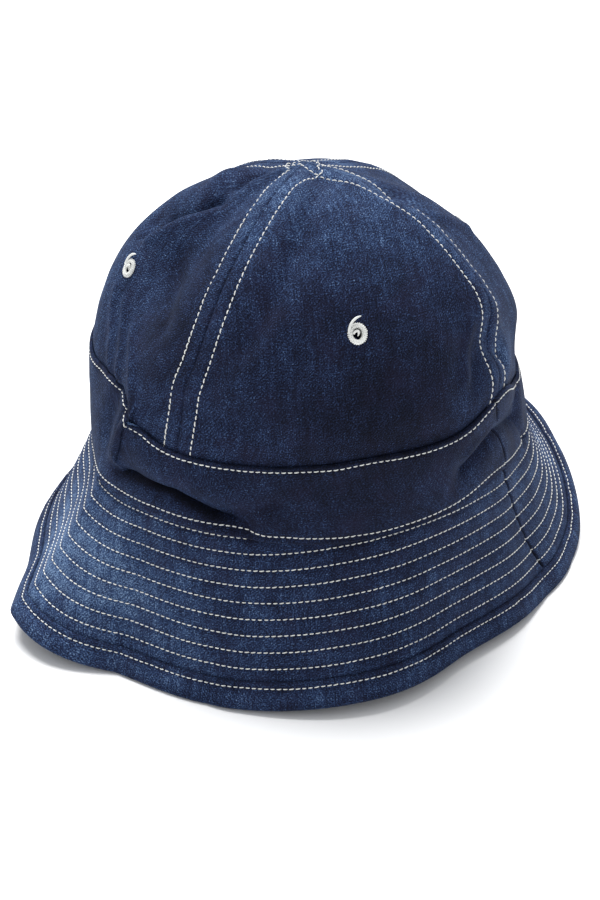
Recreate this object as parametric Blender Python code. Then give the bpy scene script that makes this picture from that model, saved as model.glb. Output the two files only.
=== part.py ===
# A soft denim field hat at rest on a surface: four crown gores that meet at the top,
# a turned band over the join, a row-stitched brim with a bound edge, four worked eyelets.
# Metres, +Z up, z = 0 is the surface it rests on, and the front faces -Y.
#
# The cloth follows one form. A place on it is an azimuth in degrees, 0 at the front and
# rising towards +X, and a level: 0 the brim's edge, 1 the band's foot, 2 the band's top
# and 3 the top of the crown.

import math

import bpy
import numpy as np
from mathutils import Vector

# Driving dimensions
HEAD_LONG = 0.196          # band's oval, along X
HEAD_SHORT = 0.184         # band's oval, along Y
BAND_HEIGHT = 0.038
CROWN_RISE = 0.095         # from the band's top to the top of the crown
BRIM_WIDTH = 0.070         # down the slope, from the band's foot to the edge
BRIM_SAG = 0.002           # how far the brim's middle hangs inside its straight slope
HEM_WIDTH = 0.011          # how far the binding laps onto the brim
CROWN_WALL = 0.0014
BAND_WALL = 0.0015
BRIM_WALL = 0.0022
BINDING_WALL = 0.0010
GAP = 0.0003               # between pieces that touch
SEAM_GAP = 0.0003          # between two pieces of one layer
PRESSED = 0.0004           # how far the binding is flattened where it rests
CROWN_LAP = 0.006          # how far the crown goes down behind the band
MARGIN_SET = 0.0008        # how deep the crown's and the brim's margins lie there
APEX_SHIFT_X = -0.002      # the top of the crown leans off the head's axis
APEX_SHIFT_Y = -0.007
TOP_FALL_X = 0.078         # slope by which the top tips down along X and along Y
TOP_FALL_Y = 0.115
FOLD_WIDTH = 0.020         # folds are given as shares of these two
FOLD_DEPTH = 0.005
EYELET_RADIUS = 0.0046
EYELET_BORE = 0.0017
EYELET_BARREL = 0.0008     # thread wall round the bore
EYELET_FLANGE = 0.0008
EYELET_GAP = 0.0007        # under the flange, for the crown's curve

# The form, section by section. Girths are shares of the head's oval, heights of the
# brim's and the band's own size, and a fuller crown has a squarer shoulder. These shares,
# the crown's rise, shift and fall, the brim's sag and the seams weren't chosen by hand: they
# are a rounded least-squares fit to traced lines. Only the top girths at 80 and 105 and the
# left side seam were set by hand.
AZIMUTH, TOP_GIRTH, FOOT_GIRTH, FOOT_HEIGHT, BAND_SHARE, BRIM_SHARE, LIFT, FULLNESS = range(8)
SECTIONS = [
    (-165, 1.02, 1.01, 0.935, 1.10, 1.02, 0.00, 2.00),
    (-145, 1.02, 1.02, 0.98, 1.18, 1.04, 0.10, 1.70),
    (-120, 0.97, 1.01, 1.01, 1.22, 1.03, 0.10, 1.80),
    (-98, 0.955, 0.965, 0.96, 1.21, 0.99, 0.10, 1.70),
    (-75, 0.915, 0.98, 0.98, 1.15, 1.075, 0.11, 1.40),
    (-58, 0.94, 0.995, 1.03, 0.79, 1.08, 0.00, 1.60),
    (-30, 0.93, 0.975, 0.99, 0.80, 1.04, 0.01, 1.75),
    (0, 0.985, 0.975, 0.975, 0.98, 0.965, 0.08, 1.90),
    (25, 1.01, 0.985, 1.025, 0.95, 0.975, 0.07, 1.90),
    (45, 0.99, 0.97, 1.065, 1.07, 1.045, 0.05, 2.00),
    (60, 0.945, 0.97, 0.99, 0.95, 1.035, 0.00, 1.95),
    (80, 0.975, 1.03, 0.975, 0.81, 1.05, 0.02, 2.00),
    (105, 0.98, 1.045, 1.03, 0.84, 1.04, 0.24, 1.85),
    (130, 1.03, 1.05, 0.855, 0.93, 1.14, 0.30, 2.15),
    (155, 1.02, 1.025, 0.845, 0.98, 1.08, 0.08, 2.10),
    (175, 1.015, 1.01, 0.88, 1.03, 1.035, 0.00, 1.95),
]
CROWN_HEIGHT = 0.93        # band's foot under the top of the crown, as a share of the brim
FOOT_ROUND = 0.07          # levels either side of the band's foot over which it bends
FOOT_MARGIN = 0.015        # levels that the band reaches below its foot
MARGIN_FALL = 0.06         # levels above the band from which the crown's margin sinks
BRIM_COLLAR = 1.07         # level that the brim reaches behind the band
CROWN_TIP = 2.99

# Folds and dents. Each runs from one place to the next, and rows with one name are one
# fold. Width and depth are shares of FOLD_WIDTH and FOLD_DEPTH; depth is positive outwards.
FOLDS = [
    ("left side pushed in", -88, 2.14, -86, 2.44, 1.90, -0.90),
    ("ridge over the upper left groove", -118, 2.74, -84, 2.68, 0.80, 0.45),
    ("upper left groove", -112, 2.84, -96, 2.73, 0.60, -0.55),
    ("lower left groove", -90, 2.67, -100, 2.61, 0.70, -0.80),
    ("lower left groove", -100, 2.61, -111, 2.48, 0.70, -0.80),
    ("groove below the top", 14, 2.87, -12, 2.76, 0.70, -0.45),
    ("groove below the top", -12, 2.76, -20, 2.59, 0.70, -0.45),
    ("nick in the right seam", 52, 2.76, 62, 2.71, 0.65, -0.55),
    ("swell of the right seam", 44, 2.32, 48, 2.28, 1.20, 0.50),
    ("dent over the band at right", 35, 2.20, 45, 2.13, 1.10, -1.00),
    ("right side of the crown", 80, 2.20, 96, 2.22, 1.50, 0.30),
    ("right side pushed in", 78, 2.06, 92, 2.08, 0.90, -0.90),
    ("swell left of the middle", -32, 2.38, -30, 2.30, 2.00, 0.40),
    ("swell over the band", -9, 2.07, 20, 2.14, 1.00, 0.40),
    ("front of the pleat", -66, 1.97, -70, 1.66, 0.55, 0.60),
    ("front of the pleat", -70, 1.66, -72, 1.35, 0.55, 0.60),
    ("back of the pleat", -76, 1.95, -80, 1.45, 0.60, -0.50),
    ("tuck across the band", -71, 1.25, -58, 1.37, 0.50, -0.85),
    ("tuck across the band", -58, 1.37, -50, 1.41, 0.50, -0.85),
    ("tuck across the band", -50, 1.41, -31, 1.17, 0.50, -0.85),
    ("roll above the tuck", -60, 1.70, -38, 1.62, 0.70, 0.40),
    ("small tuck in the band", -35, 1.31, -23, 1.51, 0.45, -0.40),
    ("slant fold in the band", 60, 1.55, 41, 1.54, 0.65, -0.70),
    ("slant fold in the band", 41, 1.54, 29, 1.42, 0.65, -0.70),
    ("corner of the brim", -80, 0.00, -79, 0.95, 1.00, 0.40),
    ("left of the brim pushed in", -92, 0.35, -96, 0.62, 1.80, -0.25),
    ("back of the crown", 146, 2.14, 156, 2.34, 1.40, -0.60),
    ("back left of the crown", -148, 2.16, -158, 2.44, 1.40, -0.50),
    ("wave in the back of the brim", -172, 0.50, -166, 0.85, 1.00, -0.50),
]
FOLD_STEPS = 6             # pieces that a fold's run is laid in, to follow the cloth

# Seams: azimuth at the band, and how far it moves for each level upwards
LEAN_AT = 2.0
CROWN_SEAMS = [("front_left", -50.5, 7.0), ("front_right", 41.0, 13.0),
               ("back_right", 134.0, -8.0), ("back_left", 221.0, -16.0)]
SIDE_LEAN_AT = 1.0
SIDE_SEAMS = [("left", -129.0, -13.0), ("right", 51.5, -13.0)]
CROWN_NAMES = ["front", "right", "back", "left"]
EYELETS = [("front", 0.0, 2.36), ("right", 99.0, 2.40), ("back", 177.0, 2.36),
           ("left", -99.0, 2.36)]

# Faces along each piece
CROWN_COLUMNS = 14
CROWN_ROWS = 13
HALF_COLUMNS = 42
BAND_ROWS = 5
BRIM_ROWS = 4
WRAP_POINTS = 3
EYELET_SEGMENTS = 12

# Colours, as 8-bit screen values
DENIM_CROWN = (38, 48, 76)
DENIM_BAND = (31, 36, 58)
DENIM_BRIM = (44, 56, 84)
DENIM_BINDING = (38, 46, 71)
CREAM_THREAD = (209, 205, 190)


def around(column, azimuth):
    """Reads one column of SECTIONS at any azimuth, as a smooth closed curve."""
    angles = np.array([row[AZIMUTH] for row in SECTIONS], float)
    values = np.array([row[column] for row in SECTIONS], float)
    knots = np.concatenate([angles - 360, angles, angles + 360])
    values = np.tile(values, 3)
    slopes = np.gradient(values, knots)
    place = (np.asarray(azimuth, float) + 180) % 360 - 180
    index = np.searchsorted(knots, place, side="right") - 1
    step = knots[index + 1] - knots[index]
    t = (place - knots[index]) / step
    start = (2 * t**3 - 3 * t**2 + 1) * values[index]
    end = (3 * t**2 - 2 * t**3) * values[index + 1]
    bend = (t**3 - 2 * t**2 + t) * slopes[index] + (t**3 - t**2) * slopes[index + 1]
    return start + end + bend * step


def head_radius(azimuth):
    angle = np.radians(azimuth)
    along = np.sin(angle) / (HEAD_LONG / 2)
    across = np.cos(angle) / (HEAD_SHORT / 2)
    return 1 / np.sqrt(along**2 + across**2)


def seat(sine, cosine):
    """Height of the brim's edge when its binding just rests, for a brim of this slope."""
    lap = GAP + BINDING_WALL
    half = BRIM_WALL / 2
    reach = np.sqrt((lap * sine)**2 + ((half + lap) * cosine)**2)
    return half * cosine + reach - PRESSED


def profile(azimuth, level):
    """Distance from the head's axis and height of the smooth form, before any fold."""
    base = head_radius(azimuth)
    width = BRIM_WIDTH * around(BRIM_SHARE, azimuth)
    lift = BRIM_WIDTH * np.maximum(around(LIFT, azimuth), 0)
    drop = BRIM_WIDTH * around(FOOT_HEIGHT, azimuth) - lift
    sine = np.minimum(drop / width, 0.995)
    cosine = np.sqrt(1 - sine**2)
    edge_z = seat(sine, cosine) + lift
    foot_z = edge_z + width * sine
    foot_r = base * around(FOOT_GIRTH, azimuth)
    edge_r = foot_r + width * cosine
    top_r = base * around(TOP_GIRTH, azimuth)
    top_z = foot_z + BAND_HEIGHT * around(BAND_SHARE, azimuth)

    def brim(at):
        sag = 4 * BRIM_SAG * at * (1 - at)
        radius = edge_r + (foot_r - edge_r) * at - sag * sine
        return radius, edge_z + (foot_z - edge_z) * at - sag * cosine

    def band(at):
        return foot_r + (top_r - foot_r) * at, foot_z + (top_z - foot_z) * at

    on_brim = brim(np.clip(level, 0, 1))
    on_band = band(np.clip(level - 1, 0, 1))
    below = brim(1 - FOOT_ROUND)
    above = band(FOOT_ROUND)
    s = np.clip((level - 1 + FOOT_ROUND) / (2 * FOOT_ROUND), 0, 1)
    corner = (foot_r, foot_z)
    bent = [(1 - s)**2 * below[k] + 2 * s * (1 - s) * corner[k] + s**2 * above[k] for k in (0, 1)]

    turn = np.clip(level - 2, 0, 1) * math.pi / 2
    power = 2 / around(FULLNESS, azimuth)
    peak_z = CROWN_HEIGHT * BRIM_WIDTH + BAND_HEIGHT + CROWN_RISE
    crown_r = top_r * np.maximum(np.cos(turn), 0)**power
    crown_z = top_z + (peak_z - top_z) * np.maximum(np.sin(turn), 0)**power

    radius = np.where(level > 1, on_band[0], on_brim[0])
    height = np.where(level > 1, on_band[1], on_brim[1])
    near_foot = np.abs(level - 1) < FOOT_ROUND
    radius = np.where(near_foot, bent[0], radius)
    height = np.where(near_foot, bent[1], height)
    radius = np.where(level > 2, crown_r, radius)
    height = np.where(level > 2, crown_z, height)
    return radius, height


def smooth_form(azimuth, level):
    azimuth, level = np.broadcast_arrays(np.asarray(azimuth, float), np.asarray(level, float))
    radius, height = profile(azimuth, level)
    angle = np.radians(azimuth)
    up = np.clip(level - 2, 0, 1)
    share = up * up * (3 - 2 * up)
    x = radius * np.sin(angle)
    y = -radius * np.cos(angle)
    fall = (TOP_FALL_X * x + TOP_FALL_Y * y) * share**2
    return np.stack([x + APEX_SHIFT_X * share, y + APEX_SHIFT_Y * share, height - fall], -1)


def normal_of(surface, azimuth, level):
    """Outward unit normal of a surface that is a function of azimuth and level."""
    azimuth, level = np.broadcast_arrays(np.asarray(azimuth, float), np.asarray(level, float))
    low = np.clip(level - 0.01, 0, 2.97)
    along = surface(azimuth + 0.4, level) - surface(azimuth - 0.4, level)
    upward = surface(azimuth, low + 0.02) - surface(azimuth, low)
    normal = np.cross(along, upward)
    return normal / np.linalg.norm(normal, axis=-1, keepdims=True)


def fold_runs():
    """Each fold's width, depth and chain of points on the smooth form."""
    runs = {}
    for name, azimuth_0, level_0, azimuth_1, level_1, width, depth in FOLDS:
        azimuths = np.linspace(azimuth_0, azimuth_1, FOLD_STEPS + 1)
        levels = np.linspace(level_0, level_1, FOLD_STEPS + 1)
        chain = smooth_form(azimuths, levels)
        starts, ends = runs.setdefault(name, (width, depth, [], []))[2:]
        starts.extend(chain[:-1])
        ends.extend(chain[1:])
    return list(runs.values())


RUNS = fold_runs()


def fold_depth(points):
    """How far the folds push each point of the smooth form outwards."""
    total = np.zeros(points.shape[:-1])
    for width, depth, starts, ends in RUNS:
        nearest = np.full(points.shape[:-1], np.inf)
        for start, end in zip(starts, ends):
            run = end - start
            t = np.clip((points - start) @ run / (run @ run), 0, 1)
            distance = np.linalg.norm(points - start - t[..., None] * run, axis=-1)
            nearest = np.minimum(nearest, distance)
        total += depth * FOLD_DEPTH * np.exp(-(2 * nearest / (width * FOLD_WIDTH))**2)
    return total


def form(azimuth, level):
    """The cloth's outer face, with its folds."""
    points = smooth_form(azimuth, level)
    normals = normal_of(smooth_form, azimuth, level)
    return points + normals * fold_depth(points)[..., None]


def layer(azimuth, level, offset):
    """The form moved out along its normal by an offset."""
    offset = np.broadcast_to(offset, np.broadcast(azimuth, level).shape)
    return form(azimuth, level) + normal_of(form, azimuth, level) * offset[..., None]


def seam_azimuth(seam, level, lean_at):
    return seam[1] + seam[2] * (level - lean_at)


def columns_between(first, last, lean_at, count, levels):
    """Azimuths of a piece's grid between two seams, half a seam gap clear of each."""
    levels = np.asarray(levels, float)[:, None]
    start = seam_azimuth(first, levels, lean_at)
    end = seam_azimuth(last, levels, lean_at)
    end = np.where(end < start, end + 360, end)
    start = start + np.degrees(SEAM_GAP / 2 / profile(start, levels)[0])
    end = end - np.degrees(SEAM_GAP / 2 / profile(end, levels)[0])
    return start + (end - start) * np.linspace(0, 1, count + 1)


def material(name, colour, roughness):
    """A plain Principled finish from an 8-bit screen colour."""
    made = bpy.data.materials.new(name)
    made.use_nodes = True
    linear = [((c / 255 + 0.055) / 1.055)**2.4 for c in colour]
    shader = made.node_tree.nodes["Principled BSDF"]
    shader.inputs["Base Color"].default_value = (*linear, 1)
    shader.inputs["Roughness"].default_value = roughness
    shader.inputs["Metallic"].default_value = 0
    return made


def add_object(name, points, faces, finish):
    mesh = bpy.data.meshes.new(name)
    mesh.from_pydata([tuple(map(float, p)) for p in points], [], faces)
    mesh.validate()
    made = bpy.data.objects.new(name, mesh)
    bpy.context.scene.collection.objects.link(made)
    mesh.materials.append(finish)
    return made


def add_sheet(name, azimuths, levels, outer, wall, finish):
    """A closed sheet of cloth: its outer face at the outer offsets, its inner a wall below."""
    levels = np.asarray(levels, float)[:, None]
    outer = np.asarray(outer, float)[:, None]
    rows, columns = azimuths.shape
    outside = layer(azimuths, levels, outer).reshape(-1, 3)
    inside = layer(azimuths, levels, outer - wall).reshape(-1, 3)
    below = rows * columns

    def at(row, column):
        return row * columns + column

    faces = []
    for row in range(rows - 1):
        for column in range(columns - 1):
            low, low_far = at(row, column), at(row, column + 1)
            high, high_far = at(row + 1, column), at(row + 1, column + 1)
            for corners in ([low, low_far, high_far], [low, high_far, high]):
                faces.append(corners)
                faces.append([below + k for k in reversed(corners)])
    border = [at(0, k) for k in range(columns)]
    border += [at(k, columns - 1) for k in range(1, rows)]
    border += [at(rows - 1, k) for k in range(columns - 2, -1, -1)]
    border += [at(k, 0) for k in range(rows - 2, 0, -1)]
    for here, there in zip(border, border[1:] + border[:1]):
        faces.append([there, here, below + here, below + there])
    return add_object(name, np.concatenate([outside, inside]), faces, finish)


def add_ring(name, sections, finish):
    """A closed ring through sections that all have the same number of points.

    Like a sheet's, each face is split from its lower near corner, so that faces which lie
    along each other bend alike.
    """
    sections = np.asarray(sections, float)
    count, size = sections.shape[:2]
    faces = []
    for k in range(count):
        for j in range(size):
            here, here_next = k * size + j, k * size + (j + 1) % size
            there, there_next = (k + 1) % count * size + j, (k + 1) % count * size + (j + 1) % size
            if sections[k, j, 2] < sections[k, (j + 1) % size, 2]:
                faces += [[here_next, there_next, here], [there_next, there, here]]
            else:
                faces += [[here_next, there_next, there], [here_next, there, here]]
    return add_object(name, sections.reshape(-1, 3), faces, finish)


def build_crown():
    """Four gores, each with a margin that goes down behind the band."""
    margin = 2 - CROWN_LAP / BAND_HEIGHT
    rise = np.linspace(2, CROWN_TIP, CROWN_ROWS + 1)
    levels = np.concatenate([[margin, (margin + 2) / 2], rise])
    sunk = np.clip((2 + MARGIN_FALL - levels) / (2 * MARGIN_FALL), 0, 1)
    panels = {}
    for k, name in enumerate(CROWN_NAMES):
        seams = CROWN_SEAMS[k], CROWN_SEAMS[(k + 1) % 4]
        azimuths = columns_between(*seams, LEAN_AT, CROWN_COLUMNS, levels)
        finish = material("denim_crown_" + name, DENIM_CROWN, 0.85)
        panels[name] = add_sheet("crown_" + name, azimuths, levels, -MARGIN_SET * sunk,
                                 CROWN_WALL, finish)
    return panels


def halves():
    """The two halves that the band and the brim are each made in, by their seams."""
    left, right = SIDE_SEAMS
    return [("front", left, right), ("back", right, left)]


def build_band():
    """A turned strip over the crown's margin and the brim's collar."""
    upper = np.linspace(BRIM_COLLAR, 2, BAND_ROWS + 1)
    levels = np.concatenate([[1 - FOOT_MARGIN], upper])
    outer = np.full(levels.shape, GAP + BAND_WALL)
    for name, first, last in halves():
        azimuths = columns_between(first, last, SIDE_LEAN_AT, HALF_COLUMNS, levels)
        finish = material("denim_band_" + name, DENIM_BAND, 0.85)
        add_sheet("band_" + name, azimuths, levels, outer, BAND_WALL, finish)


def build_brim():
    """Two halves, from the edge up to a collar behind the band."""
    slope = np.linspace(HEM_WIDTH / BRIM_WIDTH, 1 - FOOT_ROUND, BRIM_ROWS + 1)
    levels = np.concatenate([[0], slope, [1 - FOOT_MARGIN, BRIM_COLLAR]])
    sunk = np.clip((levels - levels[-3]) / (levels[-1] - levels[-3]), 0, 1)
    for name, first, last in halves():
        azimuths = columns_between(first, last, SIDE_LEAN_AT, HALF_COLUMNS, levels)
        finish = material("denim_brim_" + name, DENIM_BRIM, 0.85)
        add_sheet("brim_" + name, azimuths, levels, -MARGIN_SET * sunk, BRIM_WALL, finish)


def build_binding():
    """A folded strip all round the edge, on the brim's own columns and flat where it rests."""
    levels = np.array([0, HEM_WIDTH / BRIM_WIDTH])
    azimuths = np.concatenate([
        columns_between(first, last, SIDE_LEAN_AT, HALF_COLUMNS, levels)[:, :-1]
        for _, first, last in halves()], axis=1)
    edge, hem = azimuths
    edge_face = form(edge, 0.0)
    down = edge_face - form(hem, levels[1])
    down /= np.linalg.norm(down, axis=-1, keepdims=True)
    lap = GAP + BINDING_WALL
    middle = -BRIM_WALL / 2

    def at_hem(offset):
        return layer(hem, levels[1], offset)

    def at_edge(offset, past=0.0):
        return layer(edge, 0.0, offset) + down * past

    points = [at_hem(lap), at_edge(lap)]
    for turn in np.linspace(0, math.pi, WRAP_POINTS + 2)[1:-1]:
        points.append(at_edge(middle + (lap - middle) * math.cos(turn), lap * math.sin(turn)))
    points += [at_edge(-BRIM_WALL - lap), at_hem(-BRIM_WALL - lap), at_hem(-BRIM_WALL - GAP)]
    points += [at_edge(-BRIM_WALL - GAP, GAP), at_edge(GAP, GAP), at_hem(GAP)]
    sections = np.stack(points, axis=1)
    sections[..., 2] = np.maximum(sections[..., 2], 0)
    return add_ring("brim_binding", sections, material("denim_binding", DENIM_BINDING, 0.8))


def build_eyelet(name, azimuth, level, panel):
    """A worked ring that grips the edge of a hole through its gore."""
    barrel = EYELET_BORE + EYELET_BARREL
    crest = (EYELET_RADIUS + barrel) / 2
    outside = EYELET_GAP
    inside = -CROWN_WALL - EYELET_GAP
    outline = [
        (barrel, outside),
        (barrel, inside),
        (EYELET_RADIUS, inside),
        (crest, inside - EYELET_FLANGE),
        (EYELET_BORE, inside - EYELET_FLANGE / 2),
        (EYELET_BORE, outside + EYELET_FLANGE / 2),
        (crest, outside + EYELET_FLANGE),
        (EYELET_RADIUS, outside),
    ]
    centre = Vector(form(azimuth, level))
    axis = Vector(normal_of(form, azimuth, level))
    turned = axis.to_track_quat("Z", "Y")
    sections = []
    for k in range(EYELET_SEGMENTS):
        angle = 2 * math.pi * k / EYELET_SEGMENTS
        spoke = turned @ Vector((math.cos(angle), math.sin(angle), 0))
        sections.append([centre + spoke * r + axis * h for r, h in outline])
    ring = add_ring("eyelet_" + name, sections, material("cream_eyelet_" + name, CREAM_THREAD, 0.7))

    bpy.ops.mesh.primitive_cylinder_add(vertices=EYELET_SEGMENTS, radius=barrel + GAP,
                                        depth=6 * CROWN_WALL, location=centre,
                                        rotation=turned.to_euler())
    cutter = bpy.context.object
    cutter.name = "hole_cutter_" + name
    cutter.hide_render = True
    cutter.display_type = "WIRE"
    hole = panel.modifiers.new("eyelet_hole", "BOOLEAN")
    hole.operation = "DIFFERENCE"
    hole.solver = "EXACT"
    hole.object = cutter
    return ring


def centre_on_origin(widest):
    """Puts everything under one empty, with the middle of the footprint at the origin."""
    points = np.array([v.co for v in widest.data.vertices])
    middle = (points.min(axis=0) + points.max(axis=0)) / 2
    hat = bpy.data.objects.new("hat", None)
    bpy.context.scene.collection.objects.link(hat)
    for piece in list(bpy.context.scene.objects):
        if piece != hat:
            piece.parent = hat
    hat.location = (-middle[0], -middle[1], 0)


def main():
    for leftover in list(bpy.data.objects):
        bpy.data.objects.remove(leftover, do_unlink=True)
    panels = build_crown()
    build_band()
    build_brim()
    binding = build_binding()
    for name, azimuth, level in EYELETS:
        build_eyelet(name, azimuth, level, panels[name])
    centre_on_origin(binding)
    for piece in bpy.context.scene.objects:
        if piece.type == "MESH" and not piece.hide_render:
            piece.data.shade_smooth()
            piece.data.set_sharp_from_angle(angle=math.radians(40))


main()
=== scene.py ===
# A soft denim field hat lying on a pale table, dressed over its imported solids.
# Metres, +Z up, and the front faces -Y. A place on the cloth is an azimuth in degrees, 0 at
# the front and rising towards +X, and a level: 0 the brim's edge, 1 the band's foot, 2 the
# band's top and 3 the top of the crown.
import itertools
import math

import bmesh
import bpy
import numpy as np
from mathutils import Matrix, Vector


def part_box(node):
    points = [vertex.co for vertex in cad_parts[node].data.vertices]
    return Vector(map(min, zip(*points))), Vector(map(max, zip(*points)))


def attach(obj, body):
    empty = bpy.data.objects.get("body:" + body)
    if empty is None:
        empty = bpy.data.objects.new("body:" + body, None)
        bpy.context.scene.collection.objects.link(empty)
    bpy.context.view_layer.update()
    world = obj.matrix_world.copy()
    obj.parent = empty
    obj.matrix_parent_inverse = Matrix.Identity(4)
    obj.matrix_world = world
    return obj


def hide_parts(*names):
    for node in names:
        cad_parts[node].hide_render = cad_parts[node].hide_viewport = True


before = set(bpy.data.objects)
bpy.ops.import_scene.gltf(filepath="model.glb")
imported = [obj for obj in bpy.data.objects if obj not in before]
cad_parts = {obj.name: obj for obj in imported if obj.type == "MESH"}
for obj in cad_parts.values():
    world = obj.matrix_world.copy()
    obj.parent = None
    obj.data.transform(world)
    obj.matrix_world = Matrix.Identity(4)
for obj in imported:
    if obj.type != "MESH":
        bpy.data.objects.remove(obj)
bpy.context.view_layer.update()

# The form that every layer of cloth follows, as the solids have it
hat = {
    "headLong": 0.196,       # the band's oval, along X
    "headShort": 0.184,
    "bandHeight": 0.038,
    "crownRise": 0.095,
    "crownHeight": 0.93,     # band's foot under the top of the crown, in brim widths
    "brimWidth": 0.070,
    "brimSag": 0.002,
    "hemWidth": 0.011,
    "crownWall": 0.0014,
    "bandWall": 0.0015,
    "brimWall": 0.0022,
    "bindingWall": 0.0010,
    "gap": 0.0003,
    "pressed": 0.0004,
    "crownLap": 0.006,       # how far the crown goes down behind the band
    "marginSet": 0.0008,
    "marginFall": 0.06,
    "apexShiftX": -0.002,
    "apexShiftY": -0.007,
    "topFallX": 0.078,       # slopes by which the top tips down
    "topFallY": 0.115,
    "footRound": 0.07,
    "footMargin": 0.015,
    "brimCollar": 1.07,
    "foldWidth": 0.020,
    "foldDepth": 0.005,
    "steepest": 0.995,       # sine of the steepest slope that the brim may have
    "seamClear": 0.00005,    # between the cloths that meet at a seam
}
bindingLap = hat["gap"] + hat["bindingWall"]     # from the brim to the binding's outer face

# These shares weren't chosen by hand: they are a rounded least-squares fit to traced lines, and
# so are the crown's rise, shift and fall, the brim's sag, the places of the rows on the brim
# and the seams. Only the top girths at 80 and 105 and the left side seam were given outside the
# fit, and the binding's row, 0.2 mm from where the fit had it.
sectionNames = ("azimuth", "topGirth", "footGirth", "footHeight", "bandShare", "brimShare",
                "lift", "fullness")
sections = [
    (-165, 1.02, 1.01, 0.935, 1.10, 1.02, 0.00, 2.00),
    (-145, 1.02, 1.02, 0.98, 1.18, 1.04, 0.10, 1.70),
    (-120, 0.97, 1.01, 1.01, 1.22, 1.03, 0.10, 1.80),
    (-98, 0.955, 0.965, 0.96, 1.21, 0.99, 0.10, 1.70),
    (-75, 0.915, 0.98, 0.98, 1.15, 1.075, 0.11, 1.40),
    (-58, 0.94, 0.995, 1.03, 0.79, 1.08, 0.00, 1.60),
    (-30, 0.93, 0.975, 0.99, 0.80, 1.04, 0.01, 1.75),
    (0, 0.985, 0.975, 0.975, 0.98, 0.965, 0.08, 1.90),
    (25, 1.01, 0.985, 1.025, 0.95, 0.975, 0.07, 1.90),
    (45, 0.99, 0.97, 1.065, 1.07, 1.045, 0.05, 2.00),
    (60, 0.945, 0.97, 0.99, 0.95, 1.035, 0.00, 1.95),
    (80, 0.975, 1.03, 0.975, 0.81, 1.05, 0.02, 2.00),
    (105, 0.98, 1.045, 1.03, 0.84, 1.04, 0.24, 1.85),
    (130, 1.03, 1.05, 0.855, 0.93, 1.14, 0.30, 2.15),
    (155, 1.02, 1.025, 0.845, 0.98, 1.08, 0.08, 2.10),
    (175, 1.015, 1.01, 0.88, 1.03, 1.035, 0.00, 1.95),
]

# A fold has a width and a depth, as shares of foldWidth and foldDepth, and the places that its
# run goes through. Depth is positive outwards. The places, here and in the lists below, were
# picked by hand in the photo, and a scratch script put many of them onto the fitted form.
folds = [
    ("left side pushed in", 1.90, -0.90, (-88, 2.14), (-86, 2.44)),
    ("ridge over the upper left groove", 0.80, 0.45, (-118, 2.74), (-84, 2.68)),
    ("upper left groove", 0.60, -0.55, (-112, 2.84), (-96, 2.73)),
    ("lower left groove", 0.70, -0.80, (-90, 2.67), (-100, 2.61), (-111, 2.48)),
    ("groove below the top", 0.70, -0.45, (14, 2.87), (-12, 2.76), (-20, 2.59)),
    ("nick in the right seam", 0.65, -0.55, (52, 2.76), (62, 2.71)),
    ("swell of the right seam", 1.20, 0.50, (44, 2.32), (48, 2.28)),
    ("dent over the band at right", 1.10, -1.00, (35, 2.20), (45, 2.13)),
    ("right side of the crown", 1.50, 0.30, (80, 2.20), (96, 2.22)),
    ("right side pushed in", 0.90, -0.90, (78, 2.06), (92, 2.08)),
    ("swell left of the middle", 2.00, 0.40, (-32, 2.38), (-30, 2.30)),
    ("swell over the band", 1.00, 0.40, (-9, 2.07), (20, 2.14)),
    ("front of the pleat", 0.55, 0.60, (-66, 1.97), (-70, 1.66), (-72, 1.35)),
    ("back of the pleat", 0.60, -0.50, (-76, 1.95), (-80, 1.45)),
    ("tuck across the band", 0.50, -0.85, (-71, 1.25), (-58, 1.37), (-50, 1.41), (-31, 1.17)),
    ("roll above the tuck", 0.70, 0.40, (-60, 1.70), (-38, 1.62)),
    ("small tuck in the band", 0.45, -0.40, (-35, 1.31), (-23, 1.51)),
    ("slant fold in the band", 0.65, -0.70, (60, 1.55), (41, 1.54), (29, 1.42)),
    ("corner of the brim", 1.00, 0.40, (-80, 0.00), (-79, 0.95)),
    ("left of the brim pushed in", 1.80, -0.25, (-92, 0.35), (-96, 0.62)),
    ("back of the crown", 1.40, -0.60, (146, 2.14), (156, 2.34)),
    ("back left of the crown", 1.40, -0.50, (-148, 2.16), (-158, 2.44)),
    ("wave in the back of the brim", 1.00, -0.50, (-172, 0.50), (-166, 0.85)),
]

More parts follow.
